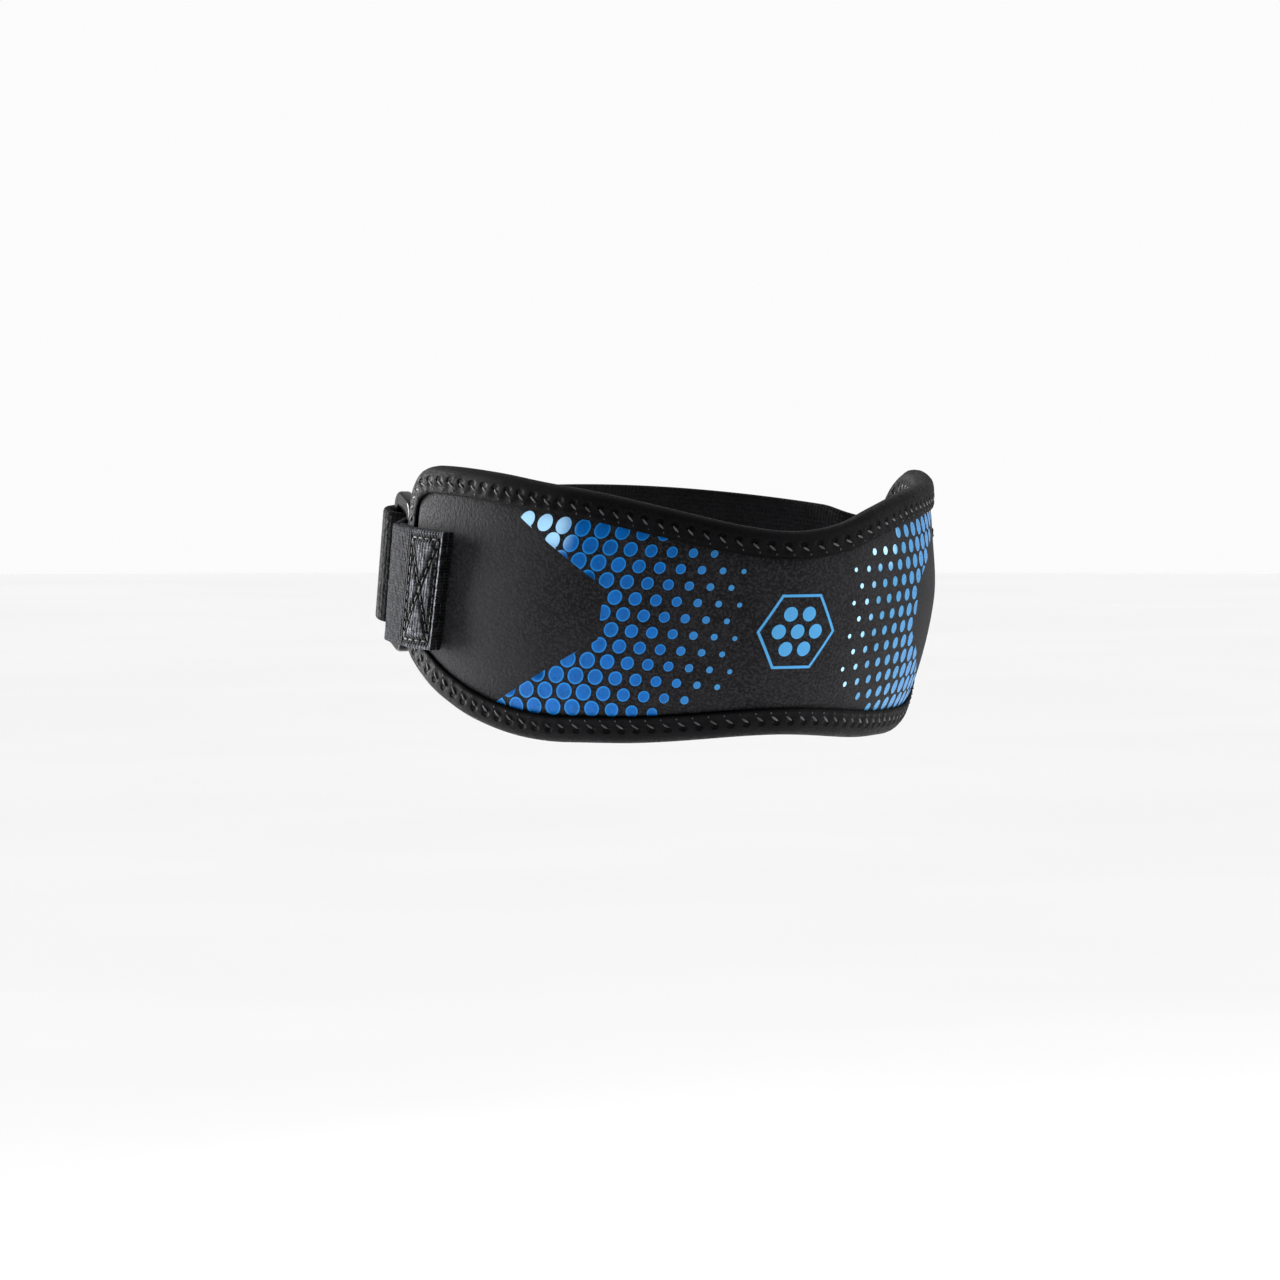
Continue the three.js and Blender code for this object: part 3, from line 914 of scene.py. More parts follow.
def tape_material(pitch):
    """Stretch tape with needle holes along its stitches and a fine lengthwise rib."""
    material, tree, shader = new_material("edge_tape_cloth", 0.72, sheen=0.005, specular=0.03)
    colour = colours().tape
    along, across = lay_parts(tree)
    place = object_place(tree)
    patches = ranged(tree, cloth_noise(tree, place, 160, 3), 0.35, 0.7)
    specks = ranged(tree, cloth_noise(tree, place, 1300, 2), 0.35, 0.7)
    rib = wave(tree, across, 0.42 * MM)
    grain = wave(tree, calc(tree, "ADD", along, calc(tree, "MULTIPLY", across, 0.5)), 0.5 * MM)
    weave = calc(tree, "MULTIPLY_ADD", rib, 0.5, calc(tree, "MULTIPLY", grain, 0.5))
    # needle holes: pits along the outer ends of the stitches, darkened with painted shade
    shifted = calc(tree, "ADD", along, pitch / 2)
    step = calc(tree, "SUBTRACT", calc(tree, "FLOORED_MODULO", shifted, pitch), pitch / 2)
    aside = calc(tree, "SUBTRACT", across, TAPE_HOLE_DEPTH)
    squared = calc(tree, "POWER", calc(tree, "MULTIPLY", step, 0.7), 2.0)
    from_hole = calc(tree, "SQRT", calc(tree, "ADD", squared, calc(tree, "MULTIPLY", aside, aside)))
    holes = ranged(tree, from_hole, 0.4 * MM, 0.95 * MM, 1.0, 0.0)
    base = blended(tree, patches, shade(colour, 0.75), shade(colour, 1.5))
    speckled = blended(tree, specks, base, shade(colour, 3.4), 0.5)
    # painted shade: the crease where the tape is pressed down at its inner edge is darkened
    pressed = ranged(tree, across, 5.6 * MM, 6.4 * MM)
    crease_shaded = blended(tree, pressed, speckled, shade(colour, 0.1), 0.9)
    hole_shaded = blended(tree, holes, crease_shaded, shade(colour, 0.12))
    tree.links.new(hole_shaded, shader.inputs["Base Color"])
    tree.links.new(ranged(tree, specks, 0, 1, 0.6, 0.84), shader.inputs["Roughness"])
    relief = calc(tree, "SUBTRACT", calc(tree, "MULTIPLY", weave, 0.25), calc(tree, "MULTIPLY", holes, 1.6))
    add_bump(tree, shader, relief, 0.22 * MM, 0.9)
    return material


def film_material():
    """Printed film: a full colour in the middle of a dot and paler at its rim."""
    material, tree, shader = new_material("printed_film", 0.4, coat=0.03, specular=0.06)
    along, across = lay_parts(tree)
    rim_uv = add_node(tree, "ShaderNodeUVMap", uv_map="rim")
    from_middle = add_node(tree, "ShaderNodeVectorMath", {0: rim_uv.outputs[0]}, operation="LENGTH")
    place = object_place(tree)
    rim = ranged(tree, from_middle.outputs["Value"], 0.7, 0.98)
    cloud = ranged(tree, cloth_noise(tree, place, 240, 3), 0.3, 0.75)
    film = colours().film
    pale_and_highlit_film = colours().pale_and_highlit_film
    centre = blended(tree, cloud, shade(film, 0.85), shade(film, 1.2))
    edged = blended(tree, rim, centre, shade(colours().film_rim, 1), 0.6)
    # the print is paler in the emblem and in the small dots beside it; on the far side its paleness is a
    # painted highlight of the glossy film
    in_front = calc(tree, "MULTIPLY", ranged(tree, calc(tree, "ABSOLUTE", along), 13 * MM, 12 * MM), 0.7)
    far_field = calc(tree, "GREATER_THAN", along, 13 * MM)
    far_side_highlight = calc(tree, "MULTIPLY", far_field, ranged(tree, along, 18 * MM, 58 * MM, 0.95, 0.5))
    smallest = calc(tree, "MULTIPLY", ranged(tree, along, -34 * MM, -16 * MM), 0.45)
    pale = calc(tree, "MAXIMUM", calc(tree, "MAXIMUM", in_front, smallest), far_side_highlight)
    pale_and_highlight_colour = blended(tree, far_field, shade(pale_and_highlit_film, 0.75), shade(pale_and_highlit_film, 0.5))
    paled_and_highlit = blended(tree, pale, edged, pale_and_highlight_colour)

    def upper_corner(start, end, low, high):
        """Fades in from start to end along the pad and from low to high up it, in millimetres."""
        run = ranged(tree, along, start * MM, end * MM)
        return calc(tree, "MULTIPLY", run, ranged(tree, across, low * MM, high * MM))

    # painted highlight: the glossy film's glints make it nearly white at its upper tip, and on the far side
    # in the smallest and the uppermost dots
    tip = upper_corner(-57, -63, 44, 49)
    uppermost = upper_corner(35, 27, 40, 46)
    white = calc(tree, "MAXIMUM", ranged(tree, along, 25 * MM, 16 * MM), uppermost)
    faint = calc(tree, "MAXIMUM", calc(tree, "MULTIPLY", far_field, white), tip)
    glinted = blended(tree, faint, paled_and_highlit, PAINTED_GLINT_FILM, 0.85)
    tree.links.new(glinted, shader.inputs["Base Color"])
    grain = cloth_noise(tree, place, 1500, 2)
    tree.links.new(ranged(tree, grain, 0.3, 0.7, 0.24, 0.42), shader.inputs["Roughness"])
    relief = calc(tree, "MULTIPLY_ADD", grain, 0.5, knit_height(tree, along, across, 0.62 * MM, 0.5 * MM))
    add_bump(tree, shader, relief, 0.05 * MM, 0.6)
    return material


def webbing_material(length):
    """Coarse heathered webbing: ribs across it, flecks and a fuzzy nap."""
    material, tree, shader = new_material("loop_webbing", 0.9, sheen=0.012, specular=0.045)
    colour = colours().webbing
    along, across = lay_parts(tree)
    place = object_place(tree)
    rib = wave(tree, along, 0.95 * MM)
    warp = wave(tree, across, 0.8 * MM)
    twist = calc(tree, "MULTIPLY_ADD", warp, 0.5, calc(tree, "MULTIPLY", rib, 0.8))
    fleck = ranged(tree, cloth_noise(tree, place, 620, 4), 0.42, 0.6)
    patch = ranged(tree, cloth_noise(tree, place, 420, 4), 0.38, 0.62)
    base = blended(tree, patch, shade(colour, 0.3), shade(colour, 1.4))
    flecked = blended(tree, fleck, base, shade(colour, 5.5), 0.8)
    between_ribs = calc(tree, "SUBTRACT", 1.0, rib)
    ribbed = blended(tree, between_ribs, flecked, shade(colour, 0.2), 0.6)
    edge = ranged(tree, calc(tree, "ABSOLUTE", across), 13.4 * MM, 14.7 * MM)
    selvedge = blended(tree, edge, ribbed, shade(colour, 2.2), 0.35)
    # painted shade darkens the seam's furrows, and the cloth between them is pale with fuzz and with a
    # painted highlight on its bulges
    relief_uv = add_node(tree, "ShaderNodeUVMap", uv_map="relief")
    raised = add_node(tree, "ShaderNodeSeparateXYZ", {0: relief_uv.outputs[0]}).outputs[0]
    fuzz = calc(tree, "MULTIPLY_ADD", fleck, 0.6, 0.2)
    bulge_highlight = calc(tree, "MULTIPLY", ranged(tree, raised, 0.05, 0.3), fuzz)
    fuzzy = blended(tree, bulge_highlight, selvedge, shade(colour, 16))
    furrow_shaded = blended(tree, ranged(tree, raised, -0.08, -0.4, 0.0, 0.92), fuzzy, shade(colour, 0.1))
    # at the cut ends a painted highlight runs along their rim and painted shade lies on the cut itself
    rim_highlight = calc(tree, "MULTIPLY", ranged(tree, along, length - 0.9 * MM, length - 0.4 * MM), fleck)
    rim_highlit = blended(tree, rim_highlight, furrow_shaded, shade(colour, 16))
    cut = calc(tree, "MAXIMUM", ranged(tree, along, length - 0.05 * MM, length - 0.01 * MM),
               ranged(tree, along, 0.05 * MM, 0.01 * MM))
    ends = blended(tree, cut, rim_highlit, shade(colour, 0.06), 0.92)
    tree.links.new(ends, shader.inputs["Base Color"])
    tree.links.new(ranged(tree, fleck, 0, 1, 0.82, 0.96), shader.inputs["Roughness"])
    relief = calc(tree, "MULTIPLY_ADD", fleck, 0.9, twist)
    add_bump(tree, shader, relief, 0.5 * MM, 1.0)
    return material


def strap_material(name, colour, rib_pitch):
    """Brushed cloth with a faint rib and a short nap."""
    material, tree, shader = new_material(name, 0.85, sheen=0.01, specular=0.05)
    along, across = lay_parts(tree)
    place = object_place(tree)
    rib = wave(tree, along, rib_pitch)
    warp = wave(tree, across, rib_pitch * 1.2)
    nap = ranged(tree, cloth_noise(tree, place, 1000, 3), 0.34, 0.68)
    patch = ranged(tree, cloth_noise(tree, place, 140, 4), 0.3, 0.72)
    base = blended(tree, patch, shade(colour, 0.75), shade(colour, 1.4))
    brushed = blended(tree, nap, base, shade(colour, 2.4), 0.55)
    edge = ranged(tree, calc(tree, "ABSOLUTE", across), 12.6 * MM, 13.9 * MM)
    bound = blended(tree, edge, brushed, shade(colour, 2.0), 0.4)
    tree.links.new(bound, shader.inputs["Base Color"])
    tree.links.new(ranged(tree, nap, 0, 1, 0.76, 0.94), shader.inputs["Roughness"])
    weave = calc(tree, "MULTIPLY_ADD", rib, 0.5, calc(tree, "MULTIPLY", warp, 0.3))
    relief = calc(tree, "MULTIPLY_ADD", nap, 0.9, weave)
    add_bump(tree, shader, relief, 0.2 * MM, 0.8)
    return material


def plastic_material():
    """Satin moulded plastic with a fine grain, paler where its edges are rubbed."""
    material, tree, shader = new_material("moulded_plastic", 0.2, specular=0.03)
    colour = colours().plastic
    place = object_place(tree)
    grain = cloth_noise(tree, place, 1600, 3)
    cloud = ranged(tree, cloth_noise(tree, place, 130, 3), 0.35, 0.7)
    geometry = add_node(tree, "ShaderNodeNewGeometry")
    rubbed = ranged(tree, geometry.outputs["Pointiness"], 0.52, 0.62)
    base = blended(tree, cloud, shade(colour, 0.85), shade(colour, 1.5))
    worn = blended(tree, rubbed, base, shade(colour, 4.0), 0.5)
    tree.links.new(worn, shader.inputs["Base Color"])
    tree.links.new(ranged(tree, grain, 0.3, 0.7, 0.14, 0.24), shader.inputs["Roughness"])
    add_bump(tree, shader, grain, 0.008 * MM, 0.4)
    return material


def thread_material(name, colour):
    """Twisted sewing thread."""
    material, tree, shader = new_material(name, 0.65, sheen=0.03, specular=0.2)
    place = object_place(tree)
    twist = cloth_noise(tree, place, 2600, 2)
    tone = ranged(tree, cloth_noise(tree, place, 420, 2), 0.3, 0.7)
    base = blended(tree, tone, shade(colour, 0.55), shade(colour, 1.5))
    tree.links.new(base, shader.inputs["Base Color"])
    add_bump(tree, shader, twist, 0.06 * MM, 0.8)
    return material


def floor_material():
    """Plain pale floor with a faint cloud in it."""
    material, tree, shader = new_material("pale_floor", 0.75, specular=0.2)
    place = object_place(tree)
    cloud = ranged(tree, cloth_noise(tree, place, 1.4, 3), 0.3, 0.7)
    base = blended(tree, cloud, shade(colours().floor, 0.985), shade(colours().floor, 1.01))
    tree.links.new(base, shader.inputs["Base Color"])
    add_bump(tree, shader, cloth_noise(tree, place, 60, 2), 0.2 * MM, 0.2)
    return material


# Pieces

class PATELLA_OT_pad(bpy.types.Operator):
    """Make the pad: foam between two knitted faces, swollen beside its edge tape"""

    bl_idname = "patella.pad"
    bl_label = "Pad"

    def execute(self, context):
        inset = TAPE_THICKNESS + FIT
        stations = pad_stations(inset, 190, 14)
        bm = grid(len(stations) - 1, 52)
        columns = len(stations) - 1
        thicken(bm, (0, 1, 0))
        spans = [(pad_foot(along, inset), pad_top(along, inset)) for along in stations]
        for vert in bm.verts:
            column = round(vert.co.x * columns)
            vert.co.x = stations[column]
            vert.co.z = mix(*spans[column], vert.co.z)
        bmesh.ops.recalc_face_normals(bm, faces=bm.faces)
        keep_lay(bm)
        for vert in bm.verts:
            out = pad_out(vert.co.x, vert.co.z)
            if vert.co.y > 0:
                out = -PAD_THICKNESS - 0.5 * out
            vert.co = wall(vert.co.x, vert.co.z, out)
        bmesh.ops.recalc_face_normals(bm, faces=bm.faces)
        pad = finished(bm, "padded_band", pad_cloth_material(), ["pad"])
        return {"FINISHED"}


class PATELLA_OT_print(bpy.types.Operator):
    """Make the print: rows of dots that grow towards the sides, and a plain emblem in front"""

    bl_idname = "patella.print"
    bl_label = "Print"

    def execute(self, context):
        film = film_material()
        bm = bmesh.new()
        rim = bm.loops.layers.uv.new("rim")
        lay = bm.loops.layers.uv.new("lay")
        for side in (-1, 1):
            for row in range(DOT_ROWS):
                self.add_row(bm, lay, rim, side, row)
        finished(bm, "printed_dots", film)
        self.make_emblem(film)
        return {"FINISHED"}

    def add_row(self, bm, lay, rim, side, row):
        """One row of dots on one side, counted from the lower edge."""
        for column in range(DOT_COLUMNS):
            reach, up = dot_place(column, row)
            if column + (0 if row % 2 else 0.5) < 2 * abs(row - (DOT_ROWS - 1) / 2) - 7.5:
                continue
            share = (reach - DOT_START) / (DOT_FULL_AT - DOT_START)
            radius = mix(DOT_SMALLEST, DOT_LARGEST, min(share, 1.0)) / 2
            if side > 0:
                radius *= RIGHT_DOTS
            covered = up < pad_foot(reach, 0) + 2 * MM or up > pad_top(side * reach, 0) - 2 * MM
            if not covered and reach - radius < print_end(up):
                add_film_dot(bm, lay, rim, reach, up, radius, side)

    def make_emblem(self, film):
        """A hexagon outline round a rosette of seven dots."""
        bm = bmesh.new()
        rim = bm.loops.layers.uv.new("rim")
        lay = bm.loops.layers.uv.new("lay")
        centre = Vector(EMBLEM_CENTRE)
        radius = sizes().emblem_radius
        bmesh.ops.create_circle(bm, cap_ends=True, segments=6, radius=radius)
        bmesh.ops.rotate(bm, verts=bm.verts, matrix=Matrix.Rotation(math.radians(30), 3, "Z"))
        bmesh.ops.delete(bm, geom=[inset_middle(bm, EMBLEM_LINE)], context="FACES")
        bmesh.ops.subdivide_edges(bm, edges=bm.edges[:], cuts=9, use_grid_fill=True)
        for vert in bm.verts:
            vert.co = Vector((centre.x + vert.co.x, 0, centre.y + vert.co.y))
        for face in bm.faces:
            for loop in face.loops:
                loop[rim].uv = (0.8, 0)
                loop[lay].uv = (loop.vert.co.x, loop.vert.co.z)
        for vert in bm.verts:
            vert.co = film_point(vert.co.x, vert.co.z)
        turn_outwards(bm, bm.faces[:])
        for step in range(7):
            angle = math.radians(60 * step)
            distance = 0 if step == 6 else radius * 0.47
            add_film_dot(
                bm, lay, rim, centre.x + distance * math.cos(angle), centre.y + distance * math.sin(angle),
                radius * 0.17, 0)
        finished(bm, "front_emblem", film)


def dot_place(column, row):
    """How far from the front centre and how high a dot lies: the rows lean and fan out sideways."""
    across = column + (0 if row % 2 else 0.5)
    above = row - (DOT_ROWS - 1) / 2
    reach = DOT_START + across * DOT_PITCH + (0.0115 * across ** 2 + 0.0047 * across * above ** 2) * MM
    spacing = DOT_ROW_SPACING + (0.0057 * across ** 2 - 0.056 * across) * MM
    return reach, DOT_MIDDLE_HEIGHT + 0.32 * MM * across + spacing * above


def print_end(up):
    """How far from the front centre the print ends, at a height: a chevron that points to the front."""
    upper = PRINT_END + UPPER_SLANT * (up - PRINT_UPPER_CORNER)
    lower = PRINT_END + LOWER_SLANT * (PRINT_LOWER_CORNER - up)
    return max(PRINT_END, upper, lower)


def turn_outwards(bm, faces):
    """Turns loose flat faces away from the middle of the loop."""
    inward = []
    for face in faces:
        face.normal_update()
        if face.normal.dot(Vector((*face.calc_center_median().xy, 0))) < 0:
            inward.append(face)
    bmesh.ops.reverse_faces(bm, faces=inward)


def film_point(along, up):
    return wall(along, up, pad_out(along, up) + FILM_LIFT)


def add_film_dot(bm, lay, rim, reach, up, radius, side):
    """One dot of film on the pad. With a side given, it is cut off where that side's field ends."""
    made = bmesh.ops.create_circle(bm, cap_ends=True, cap_tris=True, segments=28, radius=radius)
    verts = made["verts"]
    faces = list({face for vert in verts for face in vert.link_faces})
    for face in faces:
        for loop in face.loops:
            loop[rim].uv = (loop.vert.co.x / radius, loop.vert.co.y / radius)
    for vert in verts:
        along, height = reach + vert.co.x, up + vert.co.y
        if side:
            along = min(along, print_end(height))
        if side > 0:
            lean = RIGHT_LEAN * (height - DOT_MIDDLE_HEIGHT)
            along = mix(DOT_START, along, RIGHT_WIDTH) - RIGHT_SHIFT + lean
        vert.co = Vector((along * (side or 1), 0, height))
    for face in faces:
        for loop in face.loops:
            loop[lay].uv = (loop.vert.co.x, loop.vert.co.z)
    for vert in verts:
        vert.co = film_point(vert.co.x, vert.co.z)
    turn_outwards(bm, faces)


class PATELLA_OT_tape(bpy.types.Operator):
    """Make the edge tape, folded over the pad's edge and sewn down with slanted stitches"""

    bl_idname = "patella.tape"
    bl_label = "Edge Tape"

    def execute(self, context):
        total, stitches, outline = tape_outline()
        rows = 36
        steps = len(outline)
        pitch = total / stitches
        bm = grid(steps, rows)
        lay = bm.loops.layers.uv.new("lay")
        depths = [table_at(TAPE_SECTION, 1, row / rows) * MM for row in range(rows + 1)]
        for face in bm.faces:
            for loop in face.loops:
                loop[lay].uv = (loop.vert.co.x * total, depths[round(loop.vert.co.z * rows)])
        outs = [table_at(TAPE_SECTION, 2, row / rows) * MM for row in range(rows + 1)]
        spread = tape_spread()
        cores = []
        for vert in bm.verts:
            step = round(vert.co.x * steps)
            row = round(vert.co.z * rows)
            _, point, inward = outline[step % steps]
            free = 0.5 - 0.5 * math.cos(2 * math.pi * vert.co.x * total / pitch)
            seam = math.exp(-((depths[row] - TAPE_SEAM_DEPTH) / TAPE_SEAM_REACH) ** 2)
            depth = depths[row] * spread
            flat = (point.x + inward.x * depth, point.y + inward.y * depth)
            waver = TAPE_WAVER * noise.noise(Vector((point.x, depth, point.y)) / (10 * MM))
            lift = TAPE_BULGE * seam * free + waver
            vert.co = wall(*flat, outs[row] + (lift if row < rows / 2 else -lift))
            cores.append(wall(point.x + inward.x * 3 * MM, point.y + inward.y * 3 * MM, -PAD_THICKNESS / 2))
        bm.normal_update()
        bm.verts.index_update()
        outward = sum(
            face.normal.dot(face.calc_center_median() - cores[face.verts[0].index]) for face in bm.faces)
        if outward < 0:
            bmesh.ops.reverse_faces(bm, faces=bm.faces)
        bmesh.ops.remove_doubles(bm, verts=bm.verts, dist=0.01 * MM)
        tape = finished(bm, "edge_binding", tape_material(pitch), ["edge_tape"])
        thickness = tape.modifiers.new("thickness", "SOLIDIFY")
        thickness.thickness = TAPE_CLOTH
        thickness.offset = -1
        self.make_stitches(outline, stitches)
        return {"FINISHED"}

    def make_stitches(self, outline, count):
        """Slanted stitches on both faces of the tape, each by its needle hole, and small knots below."""
        steps = len(outline)
        per_stitch = steps // count
        made = Stitches()
        for side in (1, -1):
            depths = (TAPE_STITCH_OUTER, TAPE_STITCH_INNER, TAPE_STITCH_INNER + MM)
            sections = [section_at(depth) for depth in depths]
            outer, inner, lowest = sections if side > 0 else [1 - section for section in sections]
            for stitch in range(count):
                start = stitch * per_stitch
                place = outline[start]
                _, _, nx, ny = plan_at(place[1].x)
                out = Vector((nx, ny, 0)) * side
                near = tape_point(outline[start - 1], outer)
                far = tape_point(outline[start + 3], inner)
                sunk = 0.12 + 0.2 * noise.noise(near / (5 * MM))
                made.add(near.lerp(far, sunk), far, out, THREAD_RADIUS)
                knot = tape_point(outline[(start + per_stitch // 2) % steps], lowest)
                made.add(knot, knot.lerp(far, 0.3), out, THREAD_RADIUS * 0.6)
        made.finish("tape_stitches", colours().thread)


def section_at(depth):
    """Share of the tape's section at which its front face reaches a depth from the edge."""
    low, high = 0.05, 0.45
    for _ in range(20):
        middle = (low + high) / 2
        if table_at(TAPE_SECTION, 1, middle) * MM > depth:
            low = middle
        else:
            high = middle
    return (low + high) / 2


class PATELLA_OT_webbing(bpy.types.Operator):
    """Make the webbing that holds the ring, sewn down on the pad with a boxed cross"""

    bl_idname = "patella.webbing"
    bl_label = "Ring Webbing"

    def execute(self, context):
        path = webbing_path()
        width = sizes().web_width
        length = path[-1][0]
        corners = boxed_cross(length - WEB_SEAM_REACH, length - SEAM_END, width)
        relief = self.sewn_relief(corners)
        bm = ribbon(path, width, WEB_THICKNESS, 0.45 * MM, pitch=0.5 * MM, relief=relief)
        webbing = finished(bm, "webbing_loop", webbing_material(length), ["ring_webbing"])
        made = Stitches()
        surface = outer_surface(path, length, WEB_THICKNESS / 2 - 0.22 * MM)
        stitch_line(made, surface, corners, 2.4 * MM, THREAD_RADIUS)
        # dark thread, darkened further as painted shade of the seam's furrows
        made.finish("webbing_stitches", shade(colours().webbing, 0.4))
        return {"FINISHED"}

    def sewn_relief(self, corners):
        """Lumpy cloth that is drawn in along its seam and bulges between."""
        seams = [(Vector(start), Vector(end)) for start, end in zip(corners, corners[1:])]
        first = min(corner[0] for corner in corners)

        def relief(distance, across):
            place = Vector((distance, across))
            lump = 0.10 * MM * noise.noise(Vector((distance, across, 0)) / (1.6 * MM))
            if distance < first - 3 * MM:
                return lump
            near = min((place - closest_on(seam, place)).length for seam in seams)
            drawn = math.exp(-(near / (0.75 * MM)) ** 2)
            bulge = 0.25 * MM * smooth((distance - first + 1 * MM) / (3 * MM))
            return 1.4 * lump + bulge - 0.7 * MM * drawn

        return relief


class PATELLA_OT_ring(bpy.types.Operator):
    """Make the moulded ring that the strap is pulled through"""

    bl_idname = "patella.ring"
    bl_label = "Ring"

    def execute(self, context):
        width = RING_SLOT_WIDTH + 2 * RING_BAR
        height = RING_SLOT_HEIGHT + 2 * RING_END_BAR
        bm = bmesh.new()
        bmesh.ops.create_grid(bm, x_segments=1, y_segments=1, size=0.5)
        span = max(vert.co.x for vert in bm.verts) * 2
        bmesh.ops.scale(bm, verts=bm.verts, vec=(width / span, height / span, 1))
        middle = inset_middle(bm, RING_BAR)
        for vert in middle.verts:
            vert.co.y = math.copysign(RING_SLOT_HEIGHT / 2, vert.co.y)
        bmesh.ops.delete(bm, geom=[middle], context="FACES")
        thicken(bm, (0, 0, RING_BAR))
        upright = [item for item in bm.edges if abs(item.verts[0].co.z - item.verts[1].co.z) > RING_BAR / 2]
        outer = [item for item in upright if abs(item.verts[0].co.x) > width / 2 - MM]
        inner = [item for item in upright if item not in outer]
        round_edges(bm, outer, RING_CORNER, 8)
        round_edges(bm, inner, SLOT_CORNER, 8)
        rims = [
            item for item in bm.edges
            if len(item.link_faces) == 2 and item.calc_face_angle() > math.radians(60)
            and abs(item.verts[0].co.z - item.verts[1].co.z) < 1e-6
        ]
        round_edges(bm, rims, RING_ROUNDING, 5)
        keep_lay(bm)
        middle_point, pull, bar, face = ring_axes()
        turn = Matrix((pull, bar, -face)).transposed().to_4x4()
        bmesh.ops.transform(bm, matrix=Matrix.Translation(middle_point) @ turn, verts=bm.verts)
        bmesh.ops.recalc_face_normals(bm, faces=bm.faces)
        finished(bm, "slide_ring", plastic_material(), ["ring"])
        return {"FINISHED"}


class PATELLA_OT_strap(bpy.types.Operator):
    """Make the strap, its stitches on the pad and the fastening patch under its folded end"""

    bl_idname = "patella.strap"
    bl_label = "Strap"

    def execute(self, context):
        path = strap_path()
        width = sizes().strap_width
        bm = ribbon(path, width, STRAP_THICKNESS, 0.7 * MM, STRAP_CORNER)
        cloth = strap_material("strap_cloth", colours().strap, 0.9 * MM)
        strap = finished(bm, "back_strap", cloth, ["strap"])
        made = Stitches()
        corners = boxed_cross(STRAP_SEAM_REACH, SEAM_END, width)
        stitch_line(made, outer_surface(path, 0, STRAP_THICKNESS / 2), corners, 2.2 * MM, THREAD_RADIUS)
        made.finish("strap_stitches", colours().thread)
        self.make_patch(width - 2 * PATCH_INSET)
        return {"FINISHED"}

    def make_patch(self, width):
        path = patch_path()
        bm = ribbon(path, width, PATCH_THICKNESS, 0.3 * MM)
        cloth = strap_material("fastening_cloth", shade(colours().strap, 0.8), 1.5 * MM)
        patch = finished(bm, "hook_patch", cloth, ["fastening_patch"])


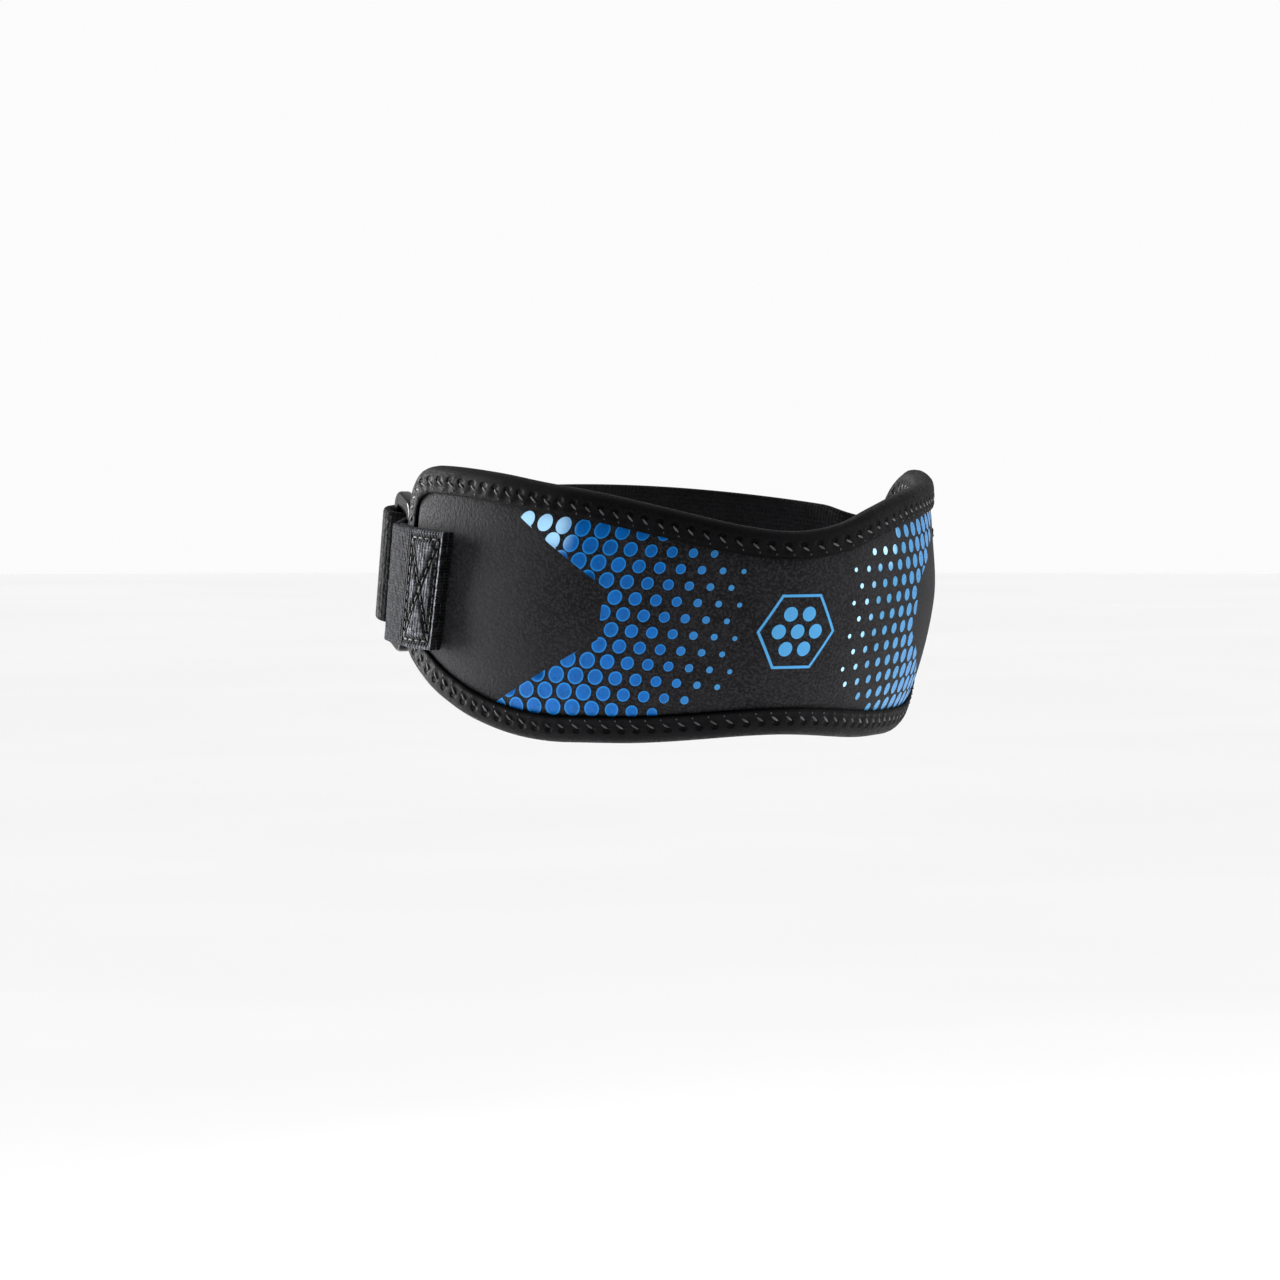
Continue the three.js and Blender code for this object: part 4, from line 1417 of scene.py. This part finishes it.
class PATELLA_OT_stage(bpy.types.Operator):
    """Set up the floor, the studio light and the camera"""

    bl_idname = "patella.stage"
    bl_label = "Stage"

    def execute(self, context):
        bm = bmesh.new()
        bmesh.ops.create_circle(bm, cap_ends=True, segments=64, radius=14)
        bmesh.ops.translate(bm, verts=bm.verts, vec=(0, 0, -sizes().floor_drop))
        add_mesh(bm, "floor", floor_material())
        self.add_lights(context)
        self.add_camera(context)
        context.scene.view_settings.view_transform = "Standard"
        return {"FINISHED"}

    def add_lights(self, context):
        """Soft boxes round the strap, and a world that is brighter behind it and overhead."""
        world = bpy.data.worlds.new("studio")
        context.scene.world = world
        world.use_nodes = True
        background = world.node_tree.nodes["Background"]
        background.inputs["Color"].default_value = (1, 1, 1, 1)
        tree = world.node_tree
        heading = add_node(tree, "ShaderNodeTexCoord").outputs["Generated"]
        toward_back = add_node(
            tree, "ShaderNodeVectorMath", {0: heading, 1: (0.35, 0.72, 0.6)}, operation="DOT_PRODUCT")
        behind = ranged(tree, toward_back.outputs["Value"], -0.05, 0.76, 0.08, 0.97)
        height = add_node(tree, "ShaderNodeSeparateXYZ", {0: heading}).outputs[2]
        overhead = ranged(tree, height, 0.55, 1.0, 0.0, 0.9)
        strength = calc(tree, "ADD", behind, overhead)
        tree.links.new(strength, background.inputs["Strength"])
        for name, place, size, power in (
            ("left_softbox", (-0.8, 1.15, 0.15), (0.5, 1.0), 125),
            ("right_softbox", (1.3, -0.5, 0.3), (0.4, 1.0), 26),
            ("front_softbox", (-0.7, -1.6, 0.9), (0.8, 0.8), 4.5),
            ("top_softbox", (0.1, 0.3, 1.6), (1.4, 1.4), 6),
        ):
            data = bpy.data.lights.new(name, "AREA")
            data.shape = "RECTANGLE"
            data.size, data.size_y = size
            data.energy = power
            light = add_object(name, data)
            light.location = place
            light.rotation_euler = (-Vector(place)).to_track_quat("-Z", "Y").to_euler()

    def add_camera(self, context):
        turn = math.radians(CAMERA_TURN)
        rise = math.radians(CAMERA_RISE)
        level = math.cos(rise)
        toward = Vector((-math.sin(turn) * level, -math.cos(turn) * level, math.sin(rise)))
        data = bpy.data.cameras.new("camera")
        data.lens = SENSOR_WIDTH * CAMERA_DISTANCE / (PHOTO_PIXELS * PIXEL_MM * MM)
        data.sensor_width = SENSOR_WIDTH
        data.shift_x = PHOTO_SHIFT[0] / PHOTO_PIXELS
        data.shift_y = PHOTO_SHIFT[1] / PHOTO_PIXELS
        data.clip_start = 0.05
        data.clip_end = 60
        camera = add_object("camera", data)
        camera.location = toward * CAMERA_DISTANCE
        camera.rotation_euler = (-toward).to_track_quat("-Z", "Y").to_euler()
        context.scene.camera = camera


class PATELLA_PT_panel(bpy.types.Panel):
    """Lists the strap's pieces, sizes and colours"""

    bl_idname = "PATELLA_PT_panel"
    bl_label = "Patella Strap"
    bl_space_type = "VIEW_3D"
    bl_region_type = "UI"
    bl_category = "Patella Strap"

    def draw(self, context):
        layout = self.layout
        for group in (context.scene.patella_sizes, context.scene.patella_colours):
            box = layout.box()
            for name in group.__annotations__:
                box.prop(group, name)
        for operator in OPERATORS:
            layout.operator(operator.bl_idname)


OPERATORS = (
    PATELLA_OT_stage,
    PATELLA_OT_pad,
    PATELLA_OT_print,
    PATELLA_OT_tape,
    PATELLA_OT_webbing,
    PATELLA_OT_ring,
    PATELLA_OT_strap,
)
CLASSES = (StrapSizes, StrapColours, *OPERATORS, PATELLA_PT_panel)


def register():
    for item in CLASSES:
        bpy.utils.register_class(item)
    bpy.types.Scene.patella_sizes = bpy.props.PointerProperty(type=StrapSizes)
    bpy.types.Scene.patella_colours = bpy.props.PointerProperty(type=StrapColours)


def unregister():
    del bpy.types.Scene.patella_colours
    del bpy.types.Scene.patella_sizes
    for item in reversed(CLASSES):
        bpy.utils.unregister_class(item)


def main():
    register()
    bpy.ops.patella.stage()
    bpy.ops.patella.pad()
    bpy.ops.patella.print()
    bpy.ops.patella.tape()
    bpy.ops.patella.webbing()
    bpy.ops.patella.ring()
    bpy.ops.patella.strap()


if __name__ == "__main__":
    main()
